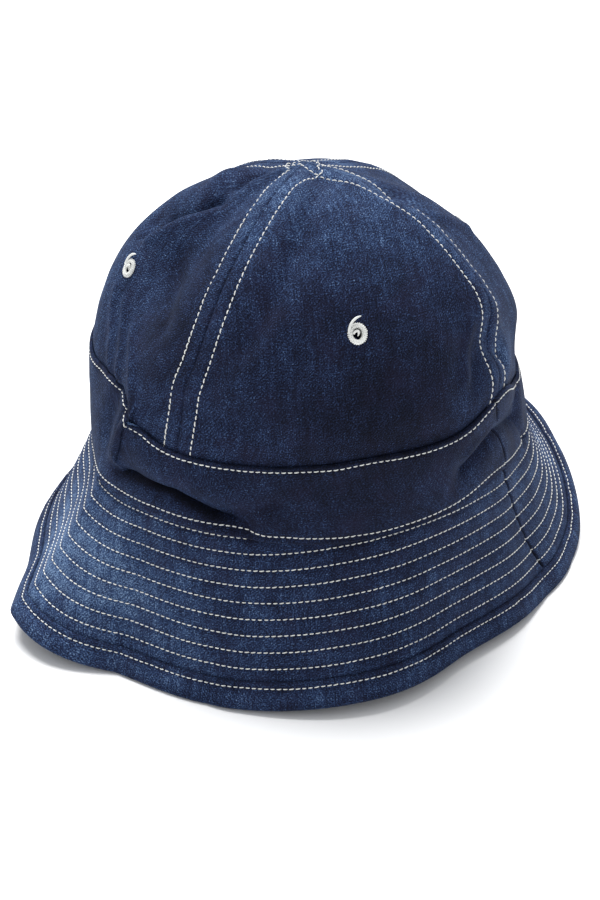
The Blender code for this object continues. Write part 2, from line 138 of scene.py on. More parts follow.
# Small folds that only the dressed hat has
smallFolds = [
    ("first ridge under the left eyelet", 0.22, 0.22, (-99, 2.28), (-91, 2.17), (-85, 2.04)),
    ("second ridge under the left eyelet", 0.22, 0.26, (-92, 2.28), (-82, 2.16), (-78, 2.04)),
    ("third ridge under the left eyelet", 0.22, 0.32, (-82, 2.25), (-72, 2.16), (-65, 2.05)),
    ("edge of the pleat", 0.16, 0.30, (-65, 1.99), (-68, 1.79), (-71, 1.38)),
    ("shade beside the pleat", 0.20, -0.40, (-69, 1.97), (-72, 1.72), (-74, 1.42)),
    ("deep line of the tuck", 0.15, -0.90, (-70, 1.25), (-59, 1.35), (-51, 1.395),
     (-39, 1.215)),
    ("end of the tuck", 0.15, -0.50, (-39, 1.215), (-34, 1.16)),
    ("deep line of the upper left groove", 0.25, -0.50, (-112, 2.84), (-94, 2.75)),
    ("deep line of the lower left groove", 0.25, -0.42, (-89, 2.675), (-95, 2.635),
     (-105, 2.54), (-107, 2.44)),
    ("ridge under the lower left groove", 0.30, 0.42, (-86, 2.64), (-95, 2.56), (-101, 2.46)),
    ("crease below the top", 0.50, -0.22, (10, 2.90), (-12, 2.76), (-20, 2.59), (-33, 2.33)),
    ("foot of that crease", 0.70, -0.22, (-22, 2.52), (-31, 2.36)),
    ("ridge beside that crease", 0.60, 0.30, (-22, 2.78), (-32, 2.55)),
    ("low crease in the front", 0.55, -0.35, (-34, 2.14), (-16, 2.32)),
    ("low ridge in the front", 0.55, 0.30, (-38, 2.20), (-24, 2.40)),
    ("fold under the left shoulder", 0.50, -0.30, (-84, 2.50), (-66, 2.34)),
    ("deep line of the slant fold", 0.22, -0.30, (62, 1.49), (43, 1.48), (30, 1.37)),
    ("ridge above the slant fold", 0.35, 0.26, (50, 1.66), (30, 1.62)),
    ("second slant fold", 0.28, -0.36, (63, 1.46), (71, 1.03)),
    ("crease at the side seam", 0.40, -0.44, (65.5, 1.84), (65.5, 1.54)),
    ("ridge beside the right seam", 0.32, 0.36, (35.5, 2.27), (29.5, 2.16)),
    ("hollow beside the right seam", 0.35, -0.30, (34, 2.15), (32, 2.11)),
    ("crease along the right seam", 0.28, -0.30, (43, 2.23), (41.5, 2.16), (47, 2.08)),
    ("crease right of the top", 0.35, 0.26, (67, 2.60), (81, 2.49)),
    ("sharp corner of the brim", 0.35, 0.16, (-80, 0.02), (-79, 0.92)),
]
foldSteps = 6                # pieces that a run is laid in from one place to the next
foldReach = 1.5              # widths past which a fold isn't felt

# A seam has an azimuth, a lean in degrees for each level, and the level of that azimuth
crownSeams = [("front_left", -50.5, 7.0, 2), ("front_right", 41.0, 13.0, 2),
              ("back_right", 134.0, -8.0, 2), ("back_left", 221.0, -16.0, 2)]
sideSeams = [("left", -129.0, -13.0, 1), ("right", 51.5, -13.0, 1)]
eyeletPlaces = [("front", 0.0, 2.36), ("right", 99.0, 2.40), ("back", 177.0, 2.36),
                ("left", -99.0, 2.36)]
eyeletCut = 0.0024           # radius of the hole in the cloth under an eyelet's thread

# Folds whose upper or front cloth hangs over the rest: the places along their edge, the way
# that the cloth hangs (along the hat's girth and upwards), how far, how wide a strip of it,
# and how far beyond the edge the crease of painted shade lies
lips = [
    ("tuck across the band",
     ((-74, 1.22), (-65, 1.29), (-59, 1.35), (-51.5, 1.395), (-45, 1.305), (-39, 1.215),
      (-35, 1.17)), (0, -1), 0.0005, 0.009, 0.0024),
    ("pleat", ((-63.5, 2.12), (-64, 2.04), (-67, 1.80), (-69, 1.49), (-71.5, 1.31)), (-1, 0),
     0.0044, 0.014, 0.0044),
]
lip = {
    "start": -0.0007,        # distances back from the edge at which the cloth starts to hang,
    "full": 0.0011,          # hangs fully
    "hold": 0.0018,          # and starts to come back
    "beside": 0.004,         # how far it still hangs beyond the edge's ends
    "stand": 0.25,           # how far it stands out, over how far it hangs
    "taper": 0.5,
    "creaseWidth": 0.0012,   # of the line that no light reaches
    # how dark the shade painted along that line is
    "creasePaintedShade": 6.0,
}

# Places where the cloth has slid: a reach, and how far along the girth and upwards
slides = [
    ("rows over the band at the right", 46, 2.08, 0.012, 0.0040, 0.0),
    ("left rows over the band", -50, 2.22, 0.010, -0.0020, 0.0),
]

sectionTable = dict(zip(sectionNames, np.array(sections, float).T))
noiseTable = np.random.default_rng(11).uniform(-1, 1, (32, 32, 32))


def around(column, azimuth):
    # reads one column of the sections at any azimuth, as a smooth closed curve
    angles = sectionTable["azimuth"]
    knots = np.concatenate([angles - 360, angles, angles + 360])
    values = np.tile(sectionTable[column], 3)
    slopes = np.gradient(values, knots)
    place = (np.asarray(azimuth, float) + 180) % 360 - 180
    index = np.searchsorted(knots, place, side="right") - 1
    step = knots[index + 1] - knots[index]
    t = (place - knots[index]) / step
    start = (2 * t**3 - 3 * t**2 + 1) * values[index]
    end = (3 * t**2 - 2 * t**3) * values[index + 1]
    bend = (t**3 - 2 * t**2 + t) * slopes[index] + (t**3 - t**2) * slopes[index + 1]
    return start + end + bend * step


def headRadius(azimuth):
    angle = np.radians(azimuth)
    along = np.sin(angle) / (hat["headLong"] / 2)
    across = np.cos(angle) / (hat["headShort"] / 2)
    return 1 / np.sqrt(along**2 + across**2)


def brimWidthAt(azimuth):
    return hat["brimWidth"] * around("brimShare", azimuth)


def bandHeightAt(azimuth):
    return hat["bandHeight"] * around("bandShare", azimuth)


def seat(sine, cosine):
    # height of the brim's edge when its binding just rests on the table
    half = hat["brimWall"] / 2
    reach = np.sqrt((bindingLap * sine)**2 + ((half + bindingLap) * cosine)**2)
    return half * cosine + reach - hat["pressed"]


def profile(azimuth, level):
    # distance from the head's axis and height of the smooth form
    brimWidth, footRound = hat["brimWidth"], hat["footRound"]
    width = brimWidthAt(azimuth)
    lift = brimWidth * np.maximum(around("lift", azimuth), 0)
    drop = brimWidth * around("footHeight", azimuth) - lift
    sine = np.minimum(drop / width, hat["steepest"])
    cosine = np.sqrt(1 - sine**2)
    edgeZ = seat(sine, cosine) + lift
    footZ = edgeZ + width * sine
    footR = headRadius(azimuth) * around("footGirth", azimuth)
    edgeR = footR + width * cosine
    topR = headRadius(azimuth) * around("topGirth", azimuth)
    topZ = footZ + bandHeightAt(azimuth)

    def brim(at):
        sag = 4 * hat["brimSag"] * at * (1 - at)
        reach = edgeR + (footR - edgeR) * at - sag * sine
        return reach, edgeZ + (footZ - edgeZ) * at - sag * cosine

    def band(at):
        return footR + (topR - footR) * at, footZ + (topZ - footZ) * at

    onBrim = brim(np.clip(level, 0, 1))
    onBand = band(np.clip(level - 1, 0, 1))
    below, above, corner = brim(1 - footRound), band(footRound), (footR, footZ)
    s = np.clip((level - 1 + footRound) / (2 * footRound), 0, 1)
    bent = [(1 - s)**2 * below[k] + 2 * s * (1 - s) * corner[k] + s**2 * above[k]
            for k in (0, 1)]
    turn = np.clip(level - 2, 0, 1) * math.pi / 2
    power = 2 / around("fullness", azimuth)
    peakZ = hat["crownHeight"] * brimWidth + hat["bandHeight"] + hat["crownRise"]
    crownR = topR * np.maximum(np.cos(turn), 0)**power
    crownZ = topZ + (peakZ - topZ) * np.maximum(np.sin(turn), 0)**power
    nearFoot = np.abs(level - 1) < footRound
    radius = np.where(nearFoot, bent[0], np.where(level > 1, onBand[0], onBrim[0]))
    height = np.where(nearFoot, bent[1], np.where(level > 1, onBand[1], onBrim[1]))
    return np.where(level > 2, crownR, radius), np.where(level > 2, crownZ, height)


def paired(azimuth, level):
    return np.broadcast_arrays(np.asarray(azimuth, float), np.asarray(level, float))


def smoothForm(azimuth, level):
    azimuth, level = paired(azimuth, level)
    radius, height = profile(azimuth, level)
    angle = np.radians(azimuth)
    up = np.clip(level - 2, 0, 1)
    share = up * up * (3 - 2 * up)
    x, y = radius * np.sin(angle), -radius * np.cos(angle)
    fall = (hat["topFallX"] * x + hat["topFallY"] * y) * share**2
    return np.stack([x + hat["apexShiftX"] * share, y + hat["apexShiftY"] * share, height - fall], -1)


probe = {"azimuth": 0.4, "level": 0.01, "top": 2.97}     # steps that measure a slope


def normalOf(surface, azimuth, level):
    azimuth, level = paired(azimuth, level)
    low = np.clip(level - probe["level"], 0, probe["top"])
    along = surface(azimuth + probe["azimuth"], level) - surface(azimuth - probe["azimuth"], level)
    upward = surface(azimuth, low + 2 * probe["level"]) - surface(azimuth, low)
    normal = np.cross(along, upward)
    return normal / np.linalg.norm(normal, axis=-1, keepdims=True)


def foldRuns(table):
    # each fold's width and depth, and the straight pieces of its run on the smooth form
    runs = []
    for name, width, depth, *places in table:
        pieces = []
        for start, end in zip(places[:-1], places[1:]):
            chain = smoothForm(*(np.linspace(a, b, foldSteps + 1) for a, b in zip(start, end)))
            pieces += list(zip(chain[:-1], chain[1:]))
        runs.append({"width": width * hat["foldWidth"], "depth": depth * hat["foldDepth"],
                     "pieces": pieces})
    return runs


def fromPiece(points, start, end):
    # the way to each point from the nearest place on a straight piece, and that place's share
    run = end - start
    t = np.clip((points - start) @ run / (run @ run), 0, 1)
    return points - start - t[..., None] * run, t


def foldDepth(points, runs):
    # how far the folds push each point of the smooth form outwards
    total = np.zeros(points.shape[:-1])
    for run in runs:
        ends = np.array([end for piece in run["pieces"] for end in piece])
        middle = ends.mean(axis=0)
        reach = np.linalg.norm(ends - middle, axis=1).max() + foldReach * run["width"]
        near = np.linalg.norm(points - middle, axis=-1) < reach
        nearest = np.full(near.sum(), np.inf)
        for start, end in run["pieces"]:
            away = fromPiece(points[near], start, end)[0]
            nearest = np.minimum(nearest, np.linalg.norm(away, axis=-1))
        total[near] += run["depth"] * bell(nearest, run["width"] / 2)
    return total


def bell(distance, width):
    return np.exp(-(distance / width)**2)


def fade(value, low, high):
    t = np.clip((value - low) / (high - low), 0, 1)
    return t * t * (3 - 2 * t)


allRuns = foldRuns(folds) + foldRuns(smallFolds)


def form(azimuth, level):
    # the cloth's outer face, with its folds
    points = smoothForm(azimuth, level)
    normals = normalOf(smoothForm, azimuth, level)
    return points + normals * foldDepth(points, allRuns)[..., None]


def layer(azimuth, level, offset):
    # the form moved out along its normal, and that normal
    normals = normalOf(form, azimuth, level)
    offset = np.broadcast_to(offset, normals.shape[:-1])
    return form(azimuth, level) + normals * offset[..., None], normals


def slip(azimuth, level):
    # how the lips and the slides move the cloth along itself, and how dark the painted shade in the
    # lips' creases is
    azimuth, level = paired(azimuth, level)
    points = smoothForm(azimuth, level)
    angle = np.radians(azimuth)
    girthwise = np.stack([np.cos(angle), np.sin(angle), 0 * angle], -1)
    outwards = np.stack([np.sin(angle), -np.cos(angle), 0 * angle], -1)
    upwards = np.array([0.0, 0.0, 1.0])
    moved, dark = np.zeros(points.shape), np.zeros(angle.shape)
    for name, places, (along, up), reach, strip, crease in lips:
        chain = smoothForm(*np.transpose(places))
        hang = along * girthwise + up * upwards
        nearest = np.full(angle.shape, np.inf)
        ahead, taper = np.zeros(angle.shape), np.zeros(angle.shape)
        for index, (start, end) in enumerate(zip(chain[:-1], chain[1:])):
            away, t = fromPiece(points, start, end)
            distance = np.linalg.norm(away, axis=-1)
            closer = distance < nearest
            nearest = np.where(closer, distance, nearest)
            ahead = np.where(closer, -(away * hang).sum(axis=-1), ahead)
            taper = np.where(closer, (index + t) / (len(chain) - 1), taper)
        beside = np.sqrt(np.maximum(nearest**2 - ahead**2, 0))
        share = fade(ahead, lip["start"], lip["full"]) * (1 - fade(ahead, lip["hold"], strip))
        narrow = np.sin(math.pi * np.clip(taper, 0, 1))**lip["taper"]
        narrow = narrow * (1 - fade(beside, 0, lip["beside"]))
        moved += (hang + lip["stand"] * outwards) * (reach * share * narrow)[..., None]
        # painted shade along each lip's crease
        dark = np.maximum(dark, bell(ahead + crease, lip["creaseWidth"]) * narrow)
    for name, azimuth0, level0, reach, along, up in slides:
        near = bell(np.linalg.norm(points - smoothForm(azimuth0, level0), axis=-1), reach)
        moved += (along * girthwise + up * upwards) * near[..., None]
    return moved, dark


def softNoise(points, size, shift=0.0):
    # smooth noise from -1 to 1, whose lumps are about the size apart
    place = np.asarray(points, float) / size + shift
    base = np.floor(place).astype(int)
    t = place - base
    t = t * t * (3 - 2 * t)
    total = np.zeros(place.shape[:-1])
    for corner in itertools.product((0, 1), repeat=3):
        weight = np.prod(np.where(corner, t, 1 - t), axis=-1)
        index = (base + corner) % len(noiseTable)
        total += weight * noiseTable[index[..., 0], index[..., 1], index[..., 2]]
    return total


def unevenAt(piece, points):
    # the soft swells and the smaller crumples of a piece's cloth
    return sum(piece[kind] * softNoise(points, piece[kind + "Size"], piece[kind + "Seed"])
               for kind in ("swell", "crumple"))


def reliefOf(piece, detail):
    # a detail's height, from -1 to 1, which makes the denim darker in its hollows and paler on its
    # crests
    return np.clip(detail / piece["reliefDepth"], -1, 1)


def seamAzimuth(seam, level):
    name, azimuth, lean, foot = seam
    return azimuth + lean * (level - foot)


def seamTurn(seam, azimuth, level):
    # angle from a seam, in radians
    return np.radians(azimuth - seamAzimuth(seam, level))


def allRound(count):
    # azimuths of a closed row
    return np.linspace(-180, 180, count, endpoint=False)


def columnsBetween(first, last, shares, levels):
    # azimuths of a grid between two seams, its columns at these shares of the way
    levels = np.asarray(levels, float)[:, None]
    start, end = seamAzimuth(first, levels), seamAzimuth(last, levels)
    end = np.where(end < start, end + 360, end)
    start = start + np.degrees(hat["seamClear"] / profile(start, levels)[0])
    end = end - np.degrees(hat["seamClear"] / profile(end, levels)[0])
    return start + (end - start) * shares


def graded(length, margin, fine, coarse):
    # shares from 0 to 1, fine within a margin of each end and coarse between
    near = np.arange(0, margin, fine)
    middle = np.linspace(margin, length - margin, max(2, round((length - 2 * margin) / coarse)))
    return np.concatenate([near, middle, length - near[::-1]]) / length


# Where the cloth is paler or darker, partly from wear and dye and partly as painted light on its
# lit sides and top and painted shade low on its front and on the band: a place, a reach and a strength
wearAndPaintedLightPlaces = [
    ("right of the brim", 95, 0.40, 0.016, 0.60),
    ("right of the brim, lower", 80, 0.35, 0.030, 0.06),
    ("right of the brim, inside", 72, 0.75, 0.022, 0.12),
    ("corner of the brim", -78, 0.40, 0.022, 0.60),
    ("left of the brim", -95, 0.50, 0.030, 0.60),
    ("left of the brim, lower", -48, 0.25, 0.030, 0.15),
    ("left side of the crown", -100, 2.20, 0.035, 0.25),
    ("left shoulder of the crown", -95, 2.55, 0.030, 0.22),
    ("right side of the crown", 78, 2.30, 0.022, 0.25),
    ("over the band at the right", 52, 2.12, 0.014, 0.40),
    ("top of the crown", 30, 2.95, 0.045, 0.35),
    ("left of the brim, front", -64, 0.55, 0.034, 0.50),
    # the darker places are partly deeper dye and partly painted shade, the paler ones partly painted
    # light
    ("darker left gore", -62, 2.40, 0.035, -0.40),
    ("darker front, low", 8, 2.12, 0.030, -0.45),
    ("darker front", 14, 2.40, 0.040, -0.30),
    ("right shoulder of the crown", 30, 2.62, 0.035, 0.28),
    ("left of the middle", -28, 2.62, 0.030, 0.15),
    ("darker band", -5, 1.50, 0.050, -0.35),
    ("back of the brim", 170, 0.50, 0.035, 0.30),
    ("back left of the brim", -140, 0.60, 0.030, 0.25),
]


def wearAndPaintedLightAt(points):
    # paler or darker in places: wear, and painted light and shade
    total = np.zeros(points.shape[:-1])
    for name, azimuth, level, reach, strength in wearAndPaintedLightPlaces:
        centre = form(azimuth, level)
        total += strength * bell(np.linalg.norm(points - centre, axis=-1), reach)
    return np.clip(total, -1, 1)


def gridFaces(rows, columns, closed=False):
    row, column = np.meshgrid(np.arange(rows - 1), np.arange(columns - (not closed)),
                              indexing="ij")
    here = row * columns + column
    there = row * columns + (column + 1) % columns
    return np.stack([here, there, there + columns, here + columns], -1).reshape(-1, 4)


def hoopFaces(rows, columns):
    # a closed grid whose last row also joins its first
    return gridFaces(rows + 1, columns, closed=True) % (rows * columns)


def gridCoordinates(points):
    # distances along a grid of points in metres, across from its middle and up from its foot
    across = np.linalg.norm(np.diff(points, axis=1), axis=-1)
    across = np.concatenate([np.zeros((len(points), 1)), np.cumsum(across, axis=1)], axis=1)
    across -= across[:, -1:] / 2
    up = np.linalg.norm(np.diff(points, axis=0), axis=-1)
    up = np.concatenate([np.zeros((1, points.shape[1])), np.cumsum(up, axis=0)], axis=0)
    return np.stack([across, up], -1)


def newMesh(name, points, faces, coordinates=None, numbers=None, materials=(), slots=None):
    mesh = bpy.data.meshes.new(name)
    mesh.from_pydata(np.asarray(points).tolist(), [], faces)
    if coordinates is not None:
        corners = np.zeros(len(mesh.loops), np.int32)
        mesh.loops.foreach_get("vertex_index", corners)
        cloth = mesh.uv_layers.new(name="cloth")
        cloth.uv.foreach_set("vector", np.asarray(coordinates, np.float32)[corners].ravel())
    for label, values in (numbers or {}).items():
        attribute = mesh.attributes.new(label, "FLOAT", "POINT")
        attribute.data.foreach_set("value", np.asarray(values, np.float32).ravel())
    for finish in materials:
        mesh.materials.append(finish)
    if slots is not None:
        mesh.polygons.foreach_set("material_index", np.asarray(slots, np.int32))
    mesh.shade_smooth()
    mesh.update()
    return mesh


def newObject(name, mesh):
    made = bpy.data.objects.new(name, mesh)
    bpy.context.scene.collection.objects.link(made)
    return made


sharpAngle = 60              # degrees between two faces that make their edge a sharp one


def dress(piece, slotName, *nodes):
    # the piece rides on the one body, and stands for these nodes
    piece.data.set_sharp_from_angle(angle=math.radians(sharpAngle))
    piece.location = (centreShift[0], centreShift[1], 0)
    bpy.context.view_layer.update()
    piece.data.transform(piece.matrix_world)
    piece.location = (0, 0, 0)
    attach(piece, "root")
    if nodes:
        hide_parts(*nodes)
    print("made", piece.name, "with", len(piece.data.polygons), "faces")


def cutHoles(faces, points):
    # the faces that no eyelet's hole takes away, and the edges round those holes
    middles = points.reshape(-1, 3)[faces].mean(axis=1)
    kept = np.ones(len(faces), bool)
    for name, azimuth, level in eyeletPlaces:
        kept &= np.linalg.norm(middles - form(azimuth, level), axis=1) > eyeletCut
    edges = set()
    for face in faces[~kept].tolist():
        for start, end in zip(face, face[1:] + face[:1]):
            if (end, start) in edges:
                edges.remove((end, start))
            else:
                edges.add((start, end))
    return faces[kept], np.array(sorted(edges), int).reshape(-1, 2)


def addSheet(name, azimuths, levels, outer, inner, relief, finish, reverse):
    # a closed sheet of cloth between two offsets from the form
    levels = np.asarray(levels, float)[:, None]
    rows, columns = azimuths.shape
    outside, normals = layer(azimuths, levels, outer)
    inside = outside + normals * (inner - outer)[..., None]
    moved, dark = slip(azimuths, levels)
    outside = outside + moved
    # the lips' creases get painted shade, carried in the relief attribute
    relief = relief - lip["creasePaintedShade"] * dark
    size = rows * columns
    faces, cuts = cutHoles(gridFaces(rows, columns), outside)
    border = np.concatenate([
        np.arange(columns),
        np.arange(1, rows) * columns + columns - 1,
        (rows - 1) * columns + np.arange(columns - 2, -1, -1),
        np.arange(rows - 2, 0, -1) * columns])
    after = np.roll(border, -1)
    rim = np.stack([after, border, border + size, after + size], -1)
    rim = np.concatenate([rim, np.stack([cuts[:, 0], cuts[:, 1], cuts[:, 1] + size,
                                         cuts[:, 0] + size], -1)])
    everyFace = np.concatenate([faces, faces[:, ::-1] + size, rim])
    slots = np.concatenate([np.zeros(len(faces)), np.ones(len(faces)), np.zeros(len(rim))])
    coordinates = gridCoordinates(outside).reshape(-1, 2)
    # wear with painted light and shade, kept as an attribute
    wearAndPaintedLight = wearAndPaintedLightAt(outside).ravel()
    return newObject(name, newMesh(
        name, np.concatenate([outside.reshape(-1, 3), inside.reshape(-1, 3)]),
        everyFace.tolist(), np.concatenate([coordinates, coordinates]),
        {"relief": np.concatenate([relief.ravel(), np.zeros(size)]),
         "wearAndPaintedLight": np.concatenate([wearAndPaintedLight, wearAndPaintedLight * 0])},
        (finish, reverse), slots))


# Materials

def colour(red, green, blue):
    # an 8-bit screen colour as a linear one
    return (*[((c / 255 + 0.055) / 1.055)**2.4 for c in (red, green, blue)], 1)


def setInputs(tree, node, values):
    # links the values that are sockets, and sets the others
    for key, value in values.items():
        if isinstance(value, bpy.types.NodeSocket):
            tree.links.new(value, node.inputs[key])
        else:
            node.inputs[key].default_value = value


def addNode(tree, kind, inputs=None, **settings):
    made = tree.nodes.new(kind)
    for key, value in settings.items():
        setattr(made, key, value)
    setInputs(tree, made, inputs or {})
    return made


def scaleAdd(tree, value, factor, start):
    return addNode(tree, "ShaderNodeMath", {0: value, 1: factor, 2: start},
                   operation="MULTIPLY_ADD").outputs[0]


def weighted(tree, parts, weights, start):
    # start plus each part times its weight
    for key, weight in weights.items():
        start = scaleAdd(tree, parts[key], weight, start)
    return start


def blend(tree, share, first, second):
    return addNode(tree, "ShaderNodeMix", {"Factor": share, 6: first, 7: second},
                   data_type="RGBA").outputs[2]


def newMaterial(name):
    made = bpy.data.materials.new(name)
    made.use_nodes = True
    return made, made.node_tree, made.node_tree.nodes["Principled BSDF"]


def finishShader(tree, shader, base, height, finish):
    bump = addNode(tree, "ShaderNodeBump", {"Height": height, "Strength": finish["bump"],
                                            "Distance": finish["bumpDepth"]})
    setInputs(tree, shader, {"Base Color": base, "Normal": bump.outputs["Normal"],
                             **finish["surface"]})


def yarnNoise(tree, coordinates, width, run, detail):
    # noise stretched along the cloth's length
    placed = addNode(tree, "ShaderNodeMapping",
                     {"Vector": coordinates, "Scale": (1 / width, 1 / run, 1)})
    return addNode(tree, "ShaderNodeTexNoise",
                   {"Vector": placed.outputs[0], "Scale": 1.0, "Detail": detail,
                    "Roughness": 0.6}).outputs["Fac"]


def lumpNoise(tree, coordinates, size, detail):
    return addNode(tree, "ShaderNodeTexNoise", {"Vector": coordinates, "Scale": 1 / size,
                                                "Detail": detail}).outputs["Fac"]


denimCloth = {
    # noise on the cloth: its size across, its size along and its detail
    "yarns": {"speck": (0.00060, 0.00060, 1.0),     # white weft between the blue yarns
              "warp": (0.00060, 0.0050, 2.0),
              "weft": (0.0040, 0.00060, 2.0),
              "slub": (0.0018, 0.030, 1.0)},
    "lumps": {"mottle": (0.022, 2.0), "blotch": (0.0060, 3.0)},
    "twillPitch": 0.0011,
    "twillTurn": 4.4,        # radians of its wave for each pitch across, and along
    "weights": {"speck": 1.25, "warp": 0.40, "weft": 0.35, "slub": 0.25, "mottle": 0.26,
                "blotch": 0.28, "twill": 0.035, "relief": 0.08, "wearAndPaintedLight": 0.30},
    "heights": {"speck": 0.8, "warp": 0.8, "weft": 0.6, "twill": 0.25, "blotch": 0.6},
    "middleTone": 0.47,
    "stops": ((0.0, (6, 7, 15)), (0.30, (16, 20, 36)), (0.52, (28, 37, 63)),
              (0.74, (52, 73, 109)), (1.0, (118, 143, 174))),
    "purple": (34, 31, 52),  # patches where the dye has turned
    "purpleLump": (0.013, 2.0),
    "purpleGain": 4.0,
    "purpleStart": -1.9,
    "purpleShare": 0.25,
    "bump": 0.6,
    "bumpDepth": 0.00020,
    "surface": {"Roughness": 0.9, "Specular IOR Level": 0.10, "Sheen Weight": 0.05,
                "Sheen Roughness": 0.45, "Sheen Tint": colour(130, 158, 205)},
}


def denim(name, tone):
    # indigo twill whose tone raises or lowers its whole colour
    cloth, weights = denimCloth, denimCloth["weights"]
    made, tree, shader = newMaterial(name)
    flat = addNode(tree, "ShaderNodeUVMap", uv_map="cloth").outputs[0]
    solid = addNode(tree, "ShaderNodeTexCoord").outputs["Object"]
    parts = {key: yarnNoise(tree, flat, *size) for key, size in cloth["yarns"].items()}
    parts.update({key: lumpNoise(tree, solid, *size) for key, size in cloth["lumps"].items()})
    middle = sum(weights[key] for key in parts) / 2
    wave = cloth["twillTurn"] / cloth["twillPitch"]
    slant = addNode(tree, "ShaderNodeVectorMath", {0: flat, 1: (wave, -wave, 0)},
                    operation="DOT_PRODUCT").outputs["Value"]
    parts["twill"] = addNode(tree, "ShaderNodeMath", {0: slant}, operation="SINE").outputs[0]
    # the relief attribute darkens hollows and pales crests, and holds the painted shade of the seams'
    # grooves and the lips' creases; the other holds wear together with painted light and shade
    for key in ("relief", "wearAndPaintedLight"):
        parts[key] = addNode(tree, "ShaderNodeAttribute", attribute_name=key).outputs["Fac"]
    level = weighted(tree, parts, weights, tone + cloth["middleTone"] - middle)
    ramp = addNode(tree, "ShaderNodeValToRGB", {"Fac": level})
    stops = ramp.color_ramp.elements
    while len(stops) < len(cloth["stops"]):
        stops.new(0.5)
    for stop, (place, shade) in zip(stops, cloth["stops"]):
        stop.position = place
        stop.color = colour(*shade)
    patch = scaleAdd(tree, lumpNoise(tree, solid, *cloth["purpleLump"]), cloth["purpleGain"],
                     cloth["purpleStart"])
    share = addNode(tree, "ShaderNodeMath", {0: patch, 1: cloth["purpleShare"]},
                    operation="MULTIPLY", use_clamp=True).outputs[0]
    dyed = blend(tree, share, ramp.outputs["Color"], colour(*cloth["purple"]))
    finishShader(tree, shader, dyed, weighted(tree, parts, cloth["heights"], 0.0), cloth)
    return made


creamThread = {
    "dark": (186, 187, 184),
    "pale": (238, 239, 235),
    "lumps": {"ply": (0.00035, 1.0), "lot": (1 / 120, 1.0)},
    "weights": {"ply": 0.7, "lot": 0.7},
    "start": -0.15,
    "bump": 0.6,
    "bumpDepth": 0.00008,
    "surface": {"Roughness": 0.62, "Sheen Weight": 0.2},
}


def thread(name):
    made, tree, shader = newMaterial(name)
    solid = addNode(tree, "ShaderNodeTexCoord").outputs["Object"]
    parts = {key: lumpNoise(tree, solid, *size) for key, size in creamThread["lumps"].items()}
    share = weighted(tree, parts, creamThread["weights"], creamThread["start"])
    dyed = blend(tree, share, colour(*creamThread["dark"]), colour(*creamThread["pale"]))
    finishShader(tree, shader, dyed, parts["ply"], creamThread)
    return made


crownDenim = denim("crownDenim", 0.00)
bandDenim = denim("bandDenim", -0.03)
brimDenim = denim("brimDenim", 0.02)
bindingDenim = denim("bindingDenim", 0.01)
reverseDenim = denim("reverseDenim", 0.22)
stitchThread = thread("stitchThread")
print("finishes made")

# The crown: four gores, joined by seams between two rows of topstitching

crown = {
    "rowOffset": 0.0062,     # each row's distance from its seam
    "seamRaise": 0.00045,    # the turned cloth under a seam
    "raiseEnd": 1.5,         # where that cloth ends, in row offsets
    "furrow": 0.00040,       # a row of stitches pulls the cloth in
    "furrowWidth": 0.0011,
    "joinDepth": 0.00050,
    "joinWidth": 0.00060,
    "ripple": 0.00032,
    "rippleLength": 0.0055,
    "rippleReach": 0.0060,
    "rippleSeed": 7.3,       # sets one seam's ripples apart from the next one's
    "sideSeed": 3,           # and one side's from the other's
    "swell": 0.00110,
    "swellSize": 0.030,
    "swellSeed": 0.0,
    "crumple": 0.00034,
    "crumpleSize": 0.011,
    "crumpleSeed": 5.5,
    "calmReach": 0.030,      # from the top, where the cloth is held flat
    "knotRise": 0.0012,      # the seams' thick cloth at the top
    "knotReach": 0.0060,
    "reliefDepth": 0.0006,
    "tip": 2.9985,
    "meridian": 0.135,       # the crown's length from the band to the top
    "lapRows": 5,
    "rows": 104,
    "columns": (0.150, 0.0095, 0.00070, 0.00165),    # width, margins, and steps in and between
}


def crownDetail(azimuth, level):
    radius = profile(azimuth, level)[0]
    away, fromRow = np.ones(radius.shape), np.ones(radius.shape)
    ripple = np.zeros(radius.shape)
    along = (level - 2) * crown["meridian"]
    for index, seam in enumerate(crownSeams):
        turn = seamTurn(seam, azimuth, level)
        side = np.where(np.cos(turn) > 0, radius * np.abs(np.sin(turn)), 1.0)
        away = np.minimum(away, side)
        fromRow = np.minimum(fromRow, np.abs(side - crown["rowOffset"]))
        place = np.stack([along / crown["rippleLength"] + side / crown["rippleReach"],
                          side / (2 * crown["rippleReach"]),
                          crown["rippleSeed"] * index + crown["sideSeed"] * np.sign(turn)], -1)
        ripple += softNoise(place, 1) * bell(side - crown["rowOffset"], crown["rippleReach"])
    raiseEnd = crown["raiseEnd"] * crown["rowOffset"]
    detail = crown["seamRaise"] * (1 - fade(away, crown["rowOffset"], raiseEnd))
    detail -= crown["furrow"] * bell(fromRow, crown["furrowWidth"])
    detail -= crown["joinDepth"] * bell(away, crown["joinWidth"])
    detail += crown["ripple"] * ripple
    detail += crown["knotRise"] * bell(radius, crown["knotReach"])
    calm = fade(radius, 0.0, crown["calmReach"])
    uneven = unevenAt(crown, smoothForm(azimuth, level)) * calm
    return detail + uneven, reliefOf(crown, detail)


def crownOffset(azimuth, level):
    sunk = np.clip((2 + hat["marginFall"] - level) / (2 * hat["marginFall"]), 0, 1)
    detail, relief = crownDetail(azimuth, level)
    return detail * (1 - sunk) - hat["marginSet"] * sunk, relief


def buildCrown():
    margin = 2 - hat["crownLap"] / hat["bandHeight"]
    levels = np.concatenate([np.linspace(margin, 2, crown["lapRows"], endpoint=False),
                             np.linspace(2, crown["tip"], crown["rows"])])
    shares = graded(*crown["columns"])
    for index, direction in enumerate(("front", "right", "back", "left")):
        azimuths = columnsBetween(crownSeams[index], crownSeams[(index + 1) % 4], shares, levels)
        outer, relief = crownOffset(azimuths, levels[:, None])
        gore = addSheet("crown" + direction.capitalize(), azimuths, levels, outer,
                        outer - hat["crownWall"], relief, crownDenim, reverseDenim)
        dress(gore, "denim_crown", "crown_" + direction)


# The band: a turned strip with a row of stitches along each edge

